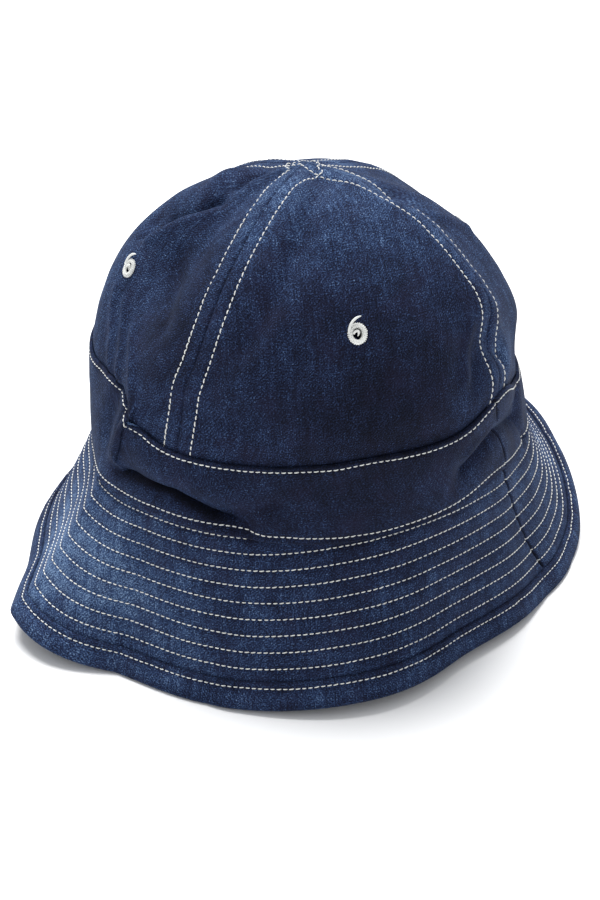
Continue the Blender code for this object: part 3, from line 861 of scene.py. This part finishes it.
band = {
    "topRow": 0.0019,        # rows' distances from the band's edges
    "footRow": 0.0027,
    "furrow": 0.00035,
    "furrowWidth": 0.0011,
    "edgeRound": 0.0010,
    "joinDepth": 0.00070,
    "joinWidth": 0.00070,
    # how dark the shade painted into the side seam's groove is
    "joinPaintedShade": 2.5,
    "ripple": 0.00030,
    "rippleLength": 0.0075,
    "rippleReach": 0.0060,
    "rippleSeed": 3.3,
    "swell": 0.00050,
    "swellSize": 0.026,
    "swellSeed": 8.1,
    "crumple": 0.00025,
    "crumpleSize": 0.010,
    "crumpleSeed": 2.7,
    "calmReach": 0.008,
    "reliefDepth": 0.0006,
    "leastWall": 0.0004,
    "rows": (0.0045, 0.00045, 0.0006),
    "columns": (0.300, 0.0030, 0.00050, 0.0010),
}


def bandHeights(azimuth, level):
    # distances from the band's top edge and from its foot edge
    height = bandHeightAt(azimuth)
    turned = hat["footMargin"] * hat["brimWidth"]
    fromFoot = np.where(level > 1, turned + (level - 1) * height,
                        (level - 1 + hat["footMargin"]) * hat["brimWidth"])
    return (2 - level) * height, fromFoot


def sideSeamGap(azimuth, level):
    radius = profile(azimuth, level)[0]
    return np.min([radius * np.abs(np.sin(seamTurn(seam, azimuth, level) / 2)) * 2
                   for seam in sideSeams], axis=0)


def roundedEdge(distance, radius):
    near = 1 - np.clip(distance / radius, 0, 1)
    return radius * (1 - np.sqrt(1 - near**2))


def bandOffset(azimuth, level):
    fromTop, fromFoot = bandHeights(azimuth, level)
    fromEdge = np.minimum(fromTop, fromFoot)
    radius = profile(azimuth, level)[0]
    fromRow = np.minimum(np.abs(fromTop - band["topRow"]), np.abs(fromFoot - band["footRow"]))
    place = np.stack([np.radians(azimuth) * radius / band["rippleLength"],
                      fromTop / (2 * band["rippleReach"]), np.zeros(radius.shape)], -1)
    ripple = softNoise(place, 1, band["rippleSeed"]) * bell(fromRow, band["rippleReach"])
    join = bell(sideSeamGap(azimuth, level), band["joinWidth"])
    detail = band["ripple"] * ripple - band["furrow"] * bell(fromRow, band["furrowWidth"])
    detail -= band["joinDepth"] * join + roundedEdge(fromEdge, band["edgeRound"])
    # painted shade in the side seam's groove
    relief = reliefOf(band, detail) - band["joinPaintedShade"] * join
    uneven = unevenAt(band, smoothForm(azimuth, level)) * fade(fromEdge, 0.0, band["calmReach"])
    return hat["gap"] + hat["bandWall"] + detail + uneven, relief


def halves():
    left, right = sideSeams
    return [("front", left, right), ("back", right, left)]


def buildBand():
    rise = graded(hat["bandHeight"], *band["rows"])
    levels = 1 - hat["footMargin"] + (1 + hat["footMargin"]) * rise
    shares = graded(*band["columns"])
    for direction, first, last in halves():
        azimuths = columnsBetween(first, last, shares, levels)
        outer, relief = bandOffset(azimuths, levels[:, None])
        inner = np.minimum(hat["gap"], outer - band["leastWall"])
        strip = addSheet("band" + direction.capitalize(), azimuths, levels, outer, inner,
                         relief, bandDenim, reverseDenim)
        dress(strip, "denim_band", "band_" + direction)


# The brim: two layers, quilted by rows of stitches that run alongside its edge

brim = {
    "firstRow": 0.0162,      # the outermost row's distance from the edge
    "rowPitch": 0.00695,
    "rowCount": 9,
    "puff": 0.00050,
    "furrowWidth": 0.0013,
    "joinDepth": 0.00130,
    "joinWidth": 0.00085,
    # how dark the shade painted into the side seam's groove is
    "joinPaintedShade": 3.5,
    "ripple": 0.00028,
    "rippleLength": 0.0060,
    "rippleSeed": 4.4,
    "swell": 0.00060,
    "swellSize": 0.028,
    "swellSeed": 6.2,
    "calmReach": 0.030,
    "hemFade": 0.0015,       # past the hem, where the quilting begins
    "underShare": 0.6,       # of the quilting, on the brim's underside
    "reliefDepth": 0.0005,
    "slopeRows": 80,
    "collarRows": 12,
    "columns": (0.370, 0.0030, 0.00060, 0.0018),
}


def brimDetail(azimuth, level):
    fromEdge = level * brimWidthAt(azimuth)
    radius = profile(azimuth, level)[0]
    row = (fromEdge - brim["firstRow"]) / brim["rowPitch"]
    nearest = np.clip(np.round(row), 0, brim["rowCount"] - 1)
    fromRow = np.abs(row - nearest) * brim["rowPitch"]
    inset = fade(fromEdge, hat["hemWidth"], hat["hemWidth"] + brim["hemFade"])
    place = np.stack([np.radians(azimuth) * radius / brim["rippleLength"], row,
                      np.full(radius.shape, brim["rippleSeed"])], -1)
    join = bell(sideSeamGap(azimuth, level), brim["joinWidth"])
    detail = brim["puff"] * (0.5 - bell(fromRow, brim["furrowWidth"]))
    detail += brim["ripple"] * softNoise(place, 1) * (1 - bell(fromRow, 2 * brim["furrowWidth"]))
    detail -= brim["joinDepth"] * join
    # painted shade in the side seam's groove
    relief = (reliefOf(brim, detail) - brim["joinPaintedShade"] * join) * inset
    swell = brim["swell"] * softNoise(smoothForm(azimuth, level), brim["swellSize"],
                                      brim["swellSeed"])
    return detail * inset, relief, swell * fade(fromEdge, 0.0, brim["calmReach"])


def brimSunk(level):
    # how far the brim has gone down behind the band, from 0 to 1
    start = 1 - hat["footRound"]
    return np.clip((level - start) / (hat["brimCollar"] - start), 0, 1)


def buildBrim():
    slope = np.linspace(0, 1 - hat["footRound"], brim["slopeRows"])
    collar = np.linspace(1 - hat["footRound"], hat["brimCollar"], brim["collarRows"])[1:]
    levels = np.concatenate([slope, collar])
    shares = graded(*brim["columns"])
    sunk = (hat["marginSet"] * brimSunk(levels))[:, None]
    for direction, first, last in halves():
        azimuths = columnsBetween(first, last, shares, levels)
        detail, relief, swell = brimDetail(azimuths, levels[:, None])
        outer = detail + swell - sunk
        inner = swell - sunk - hat["brimWall"] - brim["underShare"] * detail
        half = addSheet("brim" + direction.capitalize(), azimuths, levels, outer, inner, relief,
                        brimDenim, brimDenim)
        dress(half, "denim_brim", "brim_" + direction)


# The binding: a folded strip round the brim's edge

binding = {
    "row": 0.0081,           # the row's distance from the edge
    "furrow": 0.00042,
    "furrowWidth": 0.0012,
    "roll": 0.00055,
    "lipRound": 0.0008,
    "ripple": 0.00030,
    "rippleLength": 0.0060,
    "rippleWidth": 0.009,
    "rippleSeed": 1.7,
    "calmReach": 0.004,
    "underShare": 0.5,
    "reliefDepth": 0.0006,
    "wrapRelief": 0.25,
    "girthRadius": 0.120,    # for the cloth's coordinates along the strip
    "lapPoints": 16,
    "wrapPoints": 9,
    "columns": 500,
    "edgePoints": 2000,      # at which the edge is measured
    "edgeLevel": 0.1,        # up to which the slope beside it is
}


def bindingDetail(azimuth, fromEdge):
    radius = profile(azimuth, np.zeros(1))[0]
    place = np.stack(np.broadcast_arrays(
        np.radians(azimuth) * radius / binding["rippleLength"],
        fromEdge / binding["rippleWidth"], binding["rippleSeed"]), -1)
    detail = binding["roll"] * np.sin(np.clip(fromEdge / binding["row"], 0, 1) * math.pi)
    detail += binding["ripple"] * softNoise(place, 1) * fade(fromEdge, 0.0, binding["calmReach"])
    detail -= binding["furrow"] * bell(fromEdge - binding["row"], binding["furrowWidth"])
    detail -= roundedEdge(hat["hemWidth"] - fromEdge, binding["lipRound"])
    return detail


def bindingOffset(azimuth, fromEdge, under):
    # the binding's face over or under the brim, and its detail
    detail = bindingDetail(azimuth, fromEdge)
    if under:
        return -hat["brimWall"] - bindingLap - binding["underShare"] * detail, detail
    swell = brimDetail(azimuth, fromEdge / brimWidthAt(azimuth))[2]
    return bindingLap + detail + swell, detail


def ridgeAt(azimuth, fromEdge, offset):
    # a point on or under the brim, this far from its edge
    return layer(azimuth, fromEdge / brimWidthAt(azimuth), offset)[0]


def brimEdge(azimuths):
    # the brim's edge, the cloth's normals there, and the way down its slope
    edge, normals = layer(azimuths, 0.0, 0.0)
    down = edge - form(azimuths, binding["edgeLevel"])
    return edge, normals, down / np.linalg.norm(down, axis=-1, keepdims=True)


def buildBinding():
    azimuths = allRound(binding["columns"])
    middle = -hat["brimWall"] / 2
    edge, normals, down = brimEdge(azimuths)
    lines, marks = [], []
    reaches = np.linspace(hat["hemWidth"], 0, binding["lapPoints"])

    def layFace(places, under):
        for fromEdge in places:
            offset, detail = bindingOffset(azimuths, np.full(azimuths.shape, fromEdge), under)
            lines.append(ridgeAt(azimuths, fromEdge, offset))
            marks.append(reliefOf(binding, detail))

    layFace(reaches, False)
    for turn in np.linspace(0, math.pi, binding["wrapPoints"] + 2)[1:-1]:
        offset = middle + (bindingLap - middle) * math.cos(turn)
        lines.append(edge + normals * offset + down * bindingLap * math.sin(turn))
        marks.append(np.full(azimuths.shape, binding["wrapRelief"]))
    layFace(reaches[::-1], True)
    # the strip's inner face, a gap away from the brim
    inside = -hat["brimWall"] - hat["gap"]
    lines.append(ridgeAt(azimuths, hat["hemWidth"], inside))
    lines.append(edge + normals * inside + down * hat["gap"])
    lines.append(edge + normals * hat["gap"] + down * hat["gap"])
    lines.append(ridgeAt(azimuths, hat["hemWidth"], hat["gap"]))
    marks += [np.zeros(azimuths.shape)] * 4
    points = np.stack(lines, 0)
    points[..., 2] = np.maximum(points[..., 2], 0)
    faces = hoopFaces(len(lines), len(azimuths))[:, ::-1]
    along = np.radians(azimuths) * binding["girthRadius"]
    travelled = np.cumsum(np.linalg.norm(np.diff(points, axis=0, prepend=points[:1]), axis=-1), 0)
    coordinates = np.stack(np.broadcast_arrays(along, travelled), -1)
    # the binding's attribute of wear with painted light and shade, and its relief
    mesh = newMesh("brimBinding", points.reshape(-1, 3), faces.tolist(),
                   coordinates.reshape(-1, 2),
                   {"relief": np.stack(marks, 0), "wearAndPaintedLight": wearAndPaintedLightAt(points)}, (bindingDenim,))
    dress(newObject("brimBinding", mesh), "denim_binding", "brim_binding")


# Stitches: one tree lays them along any row, or across it for a worked eyelet

stitch = {
    "Pitch": 0.00262,
    "Length": 0.00235,
    "Thread": 0.00026,       # radius of the thread
    "Arch": 0.00038,         # how high a stitch's middle stands
    "Dip": 0.00070,          # how deep its ends go
    "Turn": 0.07,            # angle from the row, in radians
    "Slant": 0.10,           # the most that one lies off that angle
    "Uneven": 0.12,          # share by which its length differs
    "Bends": 6,              # pieces of its arch, and sides of its thread
    "Sides": 5,
    "Seed": 3,
}


def stitchTree():
    tree = bpy.data.node_groups.new("layStitches", "GeometryNodeTree")
    tree.interface.new_socket("Geometry", in_out="INPUT", socket_type="NodeSocketGeometry")
    for name, value in stitch.items():
        kind = "NodeSocketInt" if isinstance(value, int) else "NodeSocketFloat"
        socket = tree.interface.new_socket(name, in_out="INPUT", socket_type=kind)
        socket.default_value = value
    tree.interface.new_socket("Finish", in_out="INPUT", socket_type="NodeSocketMaterial")
    tree.interface.new_socket("Geometry", in_out="OUTPUT", socket_type="NodeSocketGeometry")
    given = addNode(tree, "NodeGroupInput").outputs

    def scaled(socket, factor):
        return addNode(tree, "ShaderNodeMath", {0: socket, 1: factor}, operation="MULTIPLY").outputs[0]

    def spot(x, z):
        return addNode(tree, "ShaderNodeCombineXYZ", {"X": x, "Z": z}).outputs[0]

    rows = addNode(tree, "GeometryNodeMeshToCurve", {"Mesh": given["Geometry"]})
    spaced = addNode(tree, "GeometryNodeCurveToPoints",
                     {"Curve": rows.outputs[0], "Length": given["Pitch"]}, mode="LENGTH")
    outward = addNode(tree, "GeometryNodeInputNamedAttribute", {"Name": "outward"},
                      data_type="FLOAT_VECTOR").outputs["Attribute"]
    ahead = addNode(tree, "FunctionNodeAlignRotationToVector",
                    {"Vector": spaced.outputs["Tangent"]}, axis="X")
    upright = addNode(tree, "FunctionNodeAlignRotationToVector",
                      {"Rotation": ahead.outputs[0], "Vector": outward}, axis="Z", pivot_axis="X")
    most = given["Slant"]
    least = scaled(most, -1.0)
    chance = addNode(tree, "FunctionNodeRandomValue", {"Min": least, "Max": most,
                                                       "Seed": given["Seed"]}, data_type="FLOAT")
    angle = addNode(tree, "ShaderNodeMath", {0: given["Turn"], 1: chance.outputs["Value"]})
    twist = addNode(tree, "FunctionNodeAxisAngleToRotation",
                    {"Axis": (0, 0, 1), "Angle": angle.outputs[0]})
    turned = addNode(tree, "FunctionNodeRotateRotation",
                     {"Rotation": upright.outputs[0], "Rotate By": twist.outputs[0]},
                     rotation_space="LOCAL")
    uneven = addNode(tree, "FunctionNodeRandomValue", {
        "Min": scaled(given["Uneven"], -1.0), "Max": given["Uneven"], "ID": 0,
        "Seed": given["Seed"]}, data_type="FLOAT")
    index = addNode(tree, "GeometryNodeInputIndex").outputs[0]
    tree.links.new(index, uneven.inputs["ID"])
    tree.links.new(index, chance.inputs["ID"])
    longer = addNode(tree, "ShaderNodeMath", {0: uneven.outputs["Value"], 1: 1.0})
    size = addNode(tree, "ShaderNodeCombineXYZ", {"X": longer.outputs[0], "Y": 1.0, "Z": 1.0})
    depth = scaled(given["Dip"], -1.0)
    line = addNode(tree, "GeometryNodeCurveQuadraticBezier", {
        "Resolution": given["Bends"], "Start": spot(scaled(given["Length"], -0.5), depth),
        "Middle": spot(0.0, scaled(given["Arch"], 2.0)),
        "End": spot(scaled(given["Length"], 0.5), depth)})
    outline = addNode(tree, "GeometryNodeCurvePrimitiveCircle",
                      {"Resolution": given["Sides"], "Radius": given["Thread"]}, mode="RADIUS")
    one = addNode(tree, "GeometryNodeCurveToMesh", {
        "Curve": line.outputs[0], "Profile Curve": outline.outputs[0], "Fill Caps": True})
    smooth = addNode(tree, "GeometryNodeSetShadeSmooth", {"Geometry": one.outputs[0]})
    laid = addNode(tree, "GeometryNodeInstanceOnPoints", {
        "Points": spaced.outputs["Points"], "Instance": smooth.outputs[0],
        "Rotation": turned.outputs[0], "Scale": size.outputs[0]})
    real = addNode(tree, "GeometryNodeRealizeInstances", {"Geometry": laid.outputs[0]})
    finished = addNode(tree, "GeometryNodeSetMaterial",
                       {"Geometry": real.outputs[0], "Material": given["Finish"]})
    result = addNode(tree, "NodeGroupOutput")
    tree.links.new(finished.outputs[0], result.inputs[0])
    return tree


def pathMesh(name, paths):
    # one mesh of edges through each path's points, with the cloth's normals on them
    points, normals, edges = [], [], []
    for line, outward, closed in paths:
        first, count = len(points), len(line)
        points += line.tolist()
        normals += outward.tolist()
        edges += [(first + k, first + k + 1) for k in range(count - 1)]
        if closed:
            edges.append((first + count - 1, first))
    mesh = bpy.data.meshes.new(name)
    mesh.from_pydata(points, edges, [])
    attribute = mesh.attributes.new("outward", "FLOAT_VECTOR", "POINT")
    attribute.data.foreach_set("vector", np.array(normals, np.float32).ravel())
    return mesh


def layStitches(name, paths, **changes):
    # the tree's stitches along these paths, as a plain mesh
    guide = newObject(name + "Guide", pathMesh(name + "Guide", paths))
    modifier = guide.modifiers.new("stitches", "NODES")
    modifier.node_group = stitchLayer
    values = {**stitch, **changes, "Finish": stitchThread}
    for socket in stitchLayer.interface.items_tree:
        if socket.in_out == "INPUT" and socket.name in values:
            modifier[socket.identifier] = values[socket.name]
    evaluated = guide.evaluated_get(bpy.context.evaluated_depsgraph_get())
    mesh = bpy.data.meshes.new_from_object(evaluated)
    guide.modifiers.remove(modifier)
    bpy.data.objects.remove(guide)
    mesh.name = name
    return mesh


stitchLayer = stitchTree()


stitchRows = {
    "crownFoot": 1.96,       # the crown's rows start behind the band
    "crownTop": 2.9990,
    "crownPoints": 400,
    "bandPoints": 900,
    "brimPoints": 1100,
    "footShare": 0.6,        # of the band's foot margin that the brim's rows reach into
    "seat": 0.6,             # a row's distance from the cloth, in the thread's radii
    "stray": 0.00022,        # how far a hand-guided row strays from its line
    "strayRun": 9.0,         # and over how many degrees
    "strays": {"bandTop": 0.5, "bandFoot": 1.5, "brim": 2.5, "binding": 20.5},     # seeds
}


def rowOn(azimuths, levels, offsets, closed, under=False):
    # a row's points on the cloth or under it, and the way that its stitches stand
    hand = -1 if under else 1
    points, normals = layer(azimuths, levels,
                            offsets + hand * stitchRows["seat"] * stitch["Thread"])
    return points + slip(azimuths, levels)[0], hand * normals, closed


def wobble(azimuths, row, index=0):
    seed = stitchRows["strays"][row] + index
    place = np.stack(np.broadcast_arrays(azimuths / stitchRows["strayRun"], seed, 0.0), -1)
    return stitchRows["stray"] * softNoise(place, 1)


def crownRows():
    # each seam's rows run over the top into the seam across from it
    steps = np.linspace(stitchRows["crownFoot"], stitchRows["crownTop"],
                        stitchRows["crownPoints"])
    paths = []
    for near, far in ((0, 2), (1, 3)):
        for side in (-1, 1):
            rises = []
            for seam, hand in ((crownSeams[near], side), (crownSeams[far], -side)):
                line = seamAzimuth(seam, steps)
                radii = profile(line, steps)[0]
                kept = radii > crown["rowOffset"]
                turn = np.degrees(np.arcsin(crown["rowOffset"] / radii[kept]))
                rises.append(np.stack([line[kept] + hand * turn, steps[kept]]))
            azimuths, levels = np.concatenate([rises[0], rises[1][:, ::-1]], axis=1)
            paths.append(rowOn(azimuths, levels, crownOffset(azimuths, levels)[0], False))
    return paths


def bandRows():
    azimuths = allRound(stitchRows["bandPoints"])
    turned = hat["footMargin"] * hat["brimWidth"]
    top = band["topRow"] + wobble(azimuths, "bandTop")
    foot = band["footRow"] - turned + wobble(azimuths, "bandFoot")
    height = bandHeightAt(azimuths)
    return [rowOn(azimuths, levels, bandOffset(azimuths, levels)[0], True)
            for levels in (2 - top / height, 1 + foot / height)]


def runsOf(kept):
    # stretches of a closed row that are kept, each as a list of places in it
    if kept.all():
        return [np.arange(len(kept))]
    start = int(np.argmin(kept))
    order = np.roll(np.arange(len(kept)), -start)
    breaks = np.flatnonzero(np.diff(kept[order].astype(int)))
    parts = np.split(order, breaks + 1)
    return [part for part in parts if kept[part[0]] and len(part) > 3]


def brimRows(under):
    azimuths = allRound(stitchRows["brimPoints"])
    paths = []
    for row in range(brim["rowCount"]):
        fromEdge = brim["firstRow"] + brim["rowPitch"] * row + wobble(azimuths, "brim", row)
        levels = fromEdge / brimWidthAt(azimuths)
        kept = levels < 1 - stitchRows["footShare"] * hat["footMargin"]
        detail, relief, swell = brimDetail(azimuths, levels)
        offsets = detail + swell - hat["marginSet"] * brimSunk(levels)
        if under:
            offsets = swell - hat["brimWall"] - brim["underShare"] * detail
        paths += [rowOn(azimuths[part], levels[part], offsets[part], kept.all(), under)
                  for part in runsOf(kept)]
    return paths


def bindingRows(under):
    azimuths = allRound(stitchRows["brimPoints"])
    fromEdge = binding["row"] + wobble(azimuths, "binding")
    offsets = bindingOffset(azimuths, fromEdge, under)[0]
    return [rowOn(azimuths, fromEdge / brimWidthAt(azimuths), offsets, True, under)]


def buildStitches():
    for name, paths in (("crownStitches", crownRows()), ("bandStitches", bandRows()),
                        ("brimStitches", brimRows(False)), ("brimUnderStitches", brimRows(True)),
                        ("bindingStitches", bindingRows(False)),
                        ("bindingUnderStitches", bindingRows(True))):
        dress(newObject(name, layStitches(name, paths)), "cream_thread")


# The eyelets: satin stitches over a ring, with a loose end of thread

eyelet = {
    "outer": 0.0037,
    "bore": 0.0020,
    "tall": 1.14,            # the ring's height over its width
    "crest": 0.0008,
    "coreShare": 0.92,       # the ring under the thread, over the thread's own width
    "grip": 3.2,             # how far it goes in, over how far it stands out
    "wraps": 27,
    "thread": 0.00034,
    "outsideLift": 0.10,     # the wraps' distances from the crown's faces, in crests
    "insideLift": 0.3,
    "wrapStitch": {"Dip": 0.0002, "Turn": math.pi / 2, "Slant": 0.10, "Uneven": 0.10, "Seed": 5},
    "segments": 48,
    "corePoints": 14,
    "tailThread": 0.00052,
    "tailPoints": 14,
    "tailEnd": 0.35,         # its end's thickness as a share, and how fast it thins to that
    "tailTaper": 3,
    # the loose end goes up the ring's side and over its top, and curls in the hole
    "tail": ((-0.0034, 0.0004, 0.0006), (-0.0033, 0.0030, 0.0012), (-0.0016, 0.0054, 0.0014),
             (0.0016, 0.0059, 0.0012)),
    "curl": ((-0.0017, 0.0000, 0.0003), (-0.0006, 0.0018, 0.0008), (0.0014, 0.0010, 0.0006),
             (0.0000, -0.0008, -0.0002)),
}


def tube(line, radius, sides=8):
    # a round thread along a line of points, thinner at its end
    tangents = np.gradient(line, axis=0)
    tangents /= np.linalg.norm(tangents, axis=1, keepdims=True)
    across = np.cross(tangents, (0.31, 0.54, 0.78))      # any way that no thread runs
    across /= np.linalg.norm(across, axis=1, keepdims=True)
    upward = np.cross(across, tangents)
    angles = np.arange(sides)[:, None] * 2 * math.pi / sides
    left = 1 - np.linspace(0, 1, len(line))
    taper = radius * np.minimum(1, eyelet["tailEnd"] + eyelet["tailTaper"] * left)
    points = line[:, None] + taper[:, None, None] * (
        across[:, None] * np.cos(angles) + upward[:, None] * np.sin(angles))
    faces = gridFaces(len(line), sides, closed=True).tolist()
    faces.append(list(range(sides))[::-1])
    faces.append([(len(line) - 1) * sides + k for k in range(sides)])
    return points.reshape(-1, 3), faces


def buildEyelet(direction, azimuth, level):
    centre, axis = layer(azimuth, level, crownOffset(np.array(azimuth), np.array(level))[0])
    across = np.cross((0, 0, 1), axis)
    across /= np.linalg.norm(across)
    upward = np.cross(axis, across)
    turns = np.arange(eyelet["segments"]) * 2 * math.pi / eyelet["segments"]
    middle = (eyelet["outer"] + eyelet["bore"]) / 2
    half = (eyelet["outer"] - eyelet["bore"]) / 2

    def at(x, y, z):
        return centre + across * x + upward * y * eyelet["tall"] + axis * z

    def ringAt(radius, height):
        return [at(radius * math.cos(a), radius * math.sin(a), height) for a in turns]

    # the ring under the thread, which grips both faces of the cloth
    rings = []
    for swing in np.linspace(0, 2 * math.pi, eyelet["corePoints"], endpoint=False):
        height = eyelet["crest"] * math.sin(swing)
        rings.append(ringAt(middle + half * eyelet["coreShare"] * math.cos(swing),
                            height * eyelet["grip"] if height < 0 else height))
    bunch = bmesh.new()
    bunch.from_mesh(newMesh("core", np.reshape(rings, (-1, 3)),
                            hoopFaces(len(rings), len(turns)).tolist(),
                            materials=(stitchThread,)))
    # the wraps, outside and inside the crown
    inside = -hat["crownWall"] - eyelet["insideLift"] * eyelet["crest"]
    for hand, lift in ((1, eyelet["outsideLift"] * eyelet["crest"]), (-1, inside)):
        path = (np.array(ringAt(middle, lift)), np.tile(axis * hand, (len(turns), 1)), True)
        bunch.from_mesh(layStitches("wraps", [path], Pitch=2 * math.pi * middle / eyelet["wraps"],
                                    Length=2 * half, Thread=eyelet["thread"],
                                    Arch=eyelet["crest"], **eyelet["wrapStitch"]))
    steps = np.linspace(0, 1, eyelet["tailPoints"])[:, None]
    for end in ("tail", "curl"):
        a, b, c, d = (at(*place) for place in eyelet[end])
        line = ((1 - steps)**3 * a + 3 * (1 - steps)**2 * steps * b
                + 3 * (1 - steps) * steps**2 * c + steps**3 * d)
        bunch.from_mesh(newMesh(end, *tube(line, eyelet["tailThread"]),
                                materials=(stitchThread,)))
    bmesh.ops.recalc_face_normals(bunch, faces=bunch.faces)
    name = "eyelet" + direction.capitalize()
    mesh = bpy.data.meshes.new(name)
    bunch.to_mesh(mesh)
    bunch.free()
    mesh.materials.append(stitchThread)
    mesh.shade_smooth()
    dress(newObject(name, mesh), "cream_thread", "eyelet_" + direction)


# Where the frame has the hat: its binding's middle stands over the origin

def findShift():
    edge, normals, down = brimEdge(allRound(binding["edgePoints"]))
    rim = np.concatenate([edge + normals * bindingLap,
                          edge + down * bindingLap - normals * hat["brimWall"] / 2])
    low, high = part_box("brim_binding")
    wanted = (np.array(low) + np.array(high)) / 2
    return wanted - (rim.min(axis=0) + rim.max(axis=0)) / 2


centreShift = findShift()
print("the hat stands", [round(1000 * v, 2) for v in centreShift[:2]], "mm from its own axis")
buildCrown()
buildBand()
buildBrim()
buildBinding()
buildStitches()
for place in eyeletPlaces:
    buildEyelet(*place)

# Table, light and camera

studio = {
    "tableSize": 60.0,
    "tableColour": (250, 250, 250),
    "tableRoughness": 0.7,
    "skyStrength": 0.70,
    "skyColour": (250, 252, 255),
    "sunStrength": 4.4,
    "sunFrom": (0.02, 0.42, 0.95),
    "sunWidth": 34.0,        # degrees that the lamp fills, for soft shadows
    "cameraAzimuth": -15.0,
    "cameraElevation": 30.0,
    "cameraDistance": 0.700,
    "aimRight": -0.0025,
    "aimHeight": 0.0600,
    "lens": 61.2,
    "sensor": 36.0,
    "clipStart": 0.01,
}


def buildStudio():
    half = studio["tableSize"] / 2
    mesh = bpy.data.meshes.new("table")
    mesh.from_pydata([(-half, -half, 0), (half, -half, 0), (half, half, 0), (-half, half, 0)], [],
                     [(0, 1, 2, 3)])
    table = newObject("table", mesh)
    pale, tree, shader = newMaterial("paleTable")
    setInputs(tree, shader, {"Base Color": colour(*studio["tableColour"]),
                             "Roughness": studio["tableRoughness"]})
    mesh.materials.append(pale)
    world = bpy.data.worlds.new("paleSky")
    world.use_nodes = True
    setInputs(world.node_tree, world.node_tree.nodes["Background"],
              {"Color": colour(*studio["skyColour"]), "Strength": studio["skyStrength"]})
    lamp = bpy.data.lights.new("window", "SUN")
    lamp.energy = studio["sunStrength"]
    lamp.angle = math.radians(studio["sunWidth"])
    window = newObject("window", lamp)
    window.rotation_mode = "QUATERNION"
    window.rotation_quaternion = Vector(studio["sunFrom"]).to_track_quat("Z", "Y")
    bpy.context.scene.world = world
    bpy.context.scene.view_settings.view_transform = "Standard"


def buildCamera():
    azimuth = math.radians(studio["cameraAzimuth"])
    elevation = math.radians(studio["cameraElevation"])
    back = Vector((math.sin(azimuth) * math.cos(elevation),
                   -math.cos(azimuth) * math.cos(elevation), math.sin(elevation)))
    right = Vector((math.cos(azimuth), math.sin(azimuth), 0))
    aim = right * studio["aimRight"] + Vector((centreShift[0], centreShift[1], studio["aimHeight"]))
    lens = bpy.data.cameras.new("camera")
    lens.lens = studio["lens"]
    lens.sensor_width = studio["sensor"]
    lens.clip_start = studio["clipStart"]
    camera = newObject("camera", lens)
    camera.location = aim + back * studio["cameraDistance"]
    camera.rotation_mode = "QUATERNION"
    camera.rotation_quaternion = back.to_track_quat("Z", "Y")
    bpy.context.scene.camera = camera


buildStudio()
buildCamera()
print("table, light and camera made")
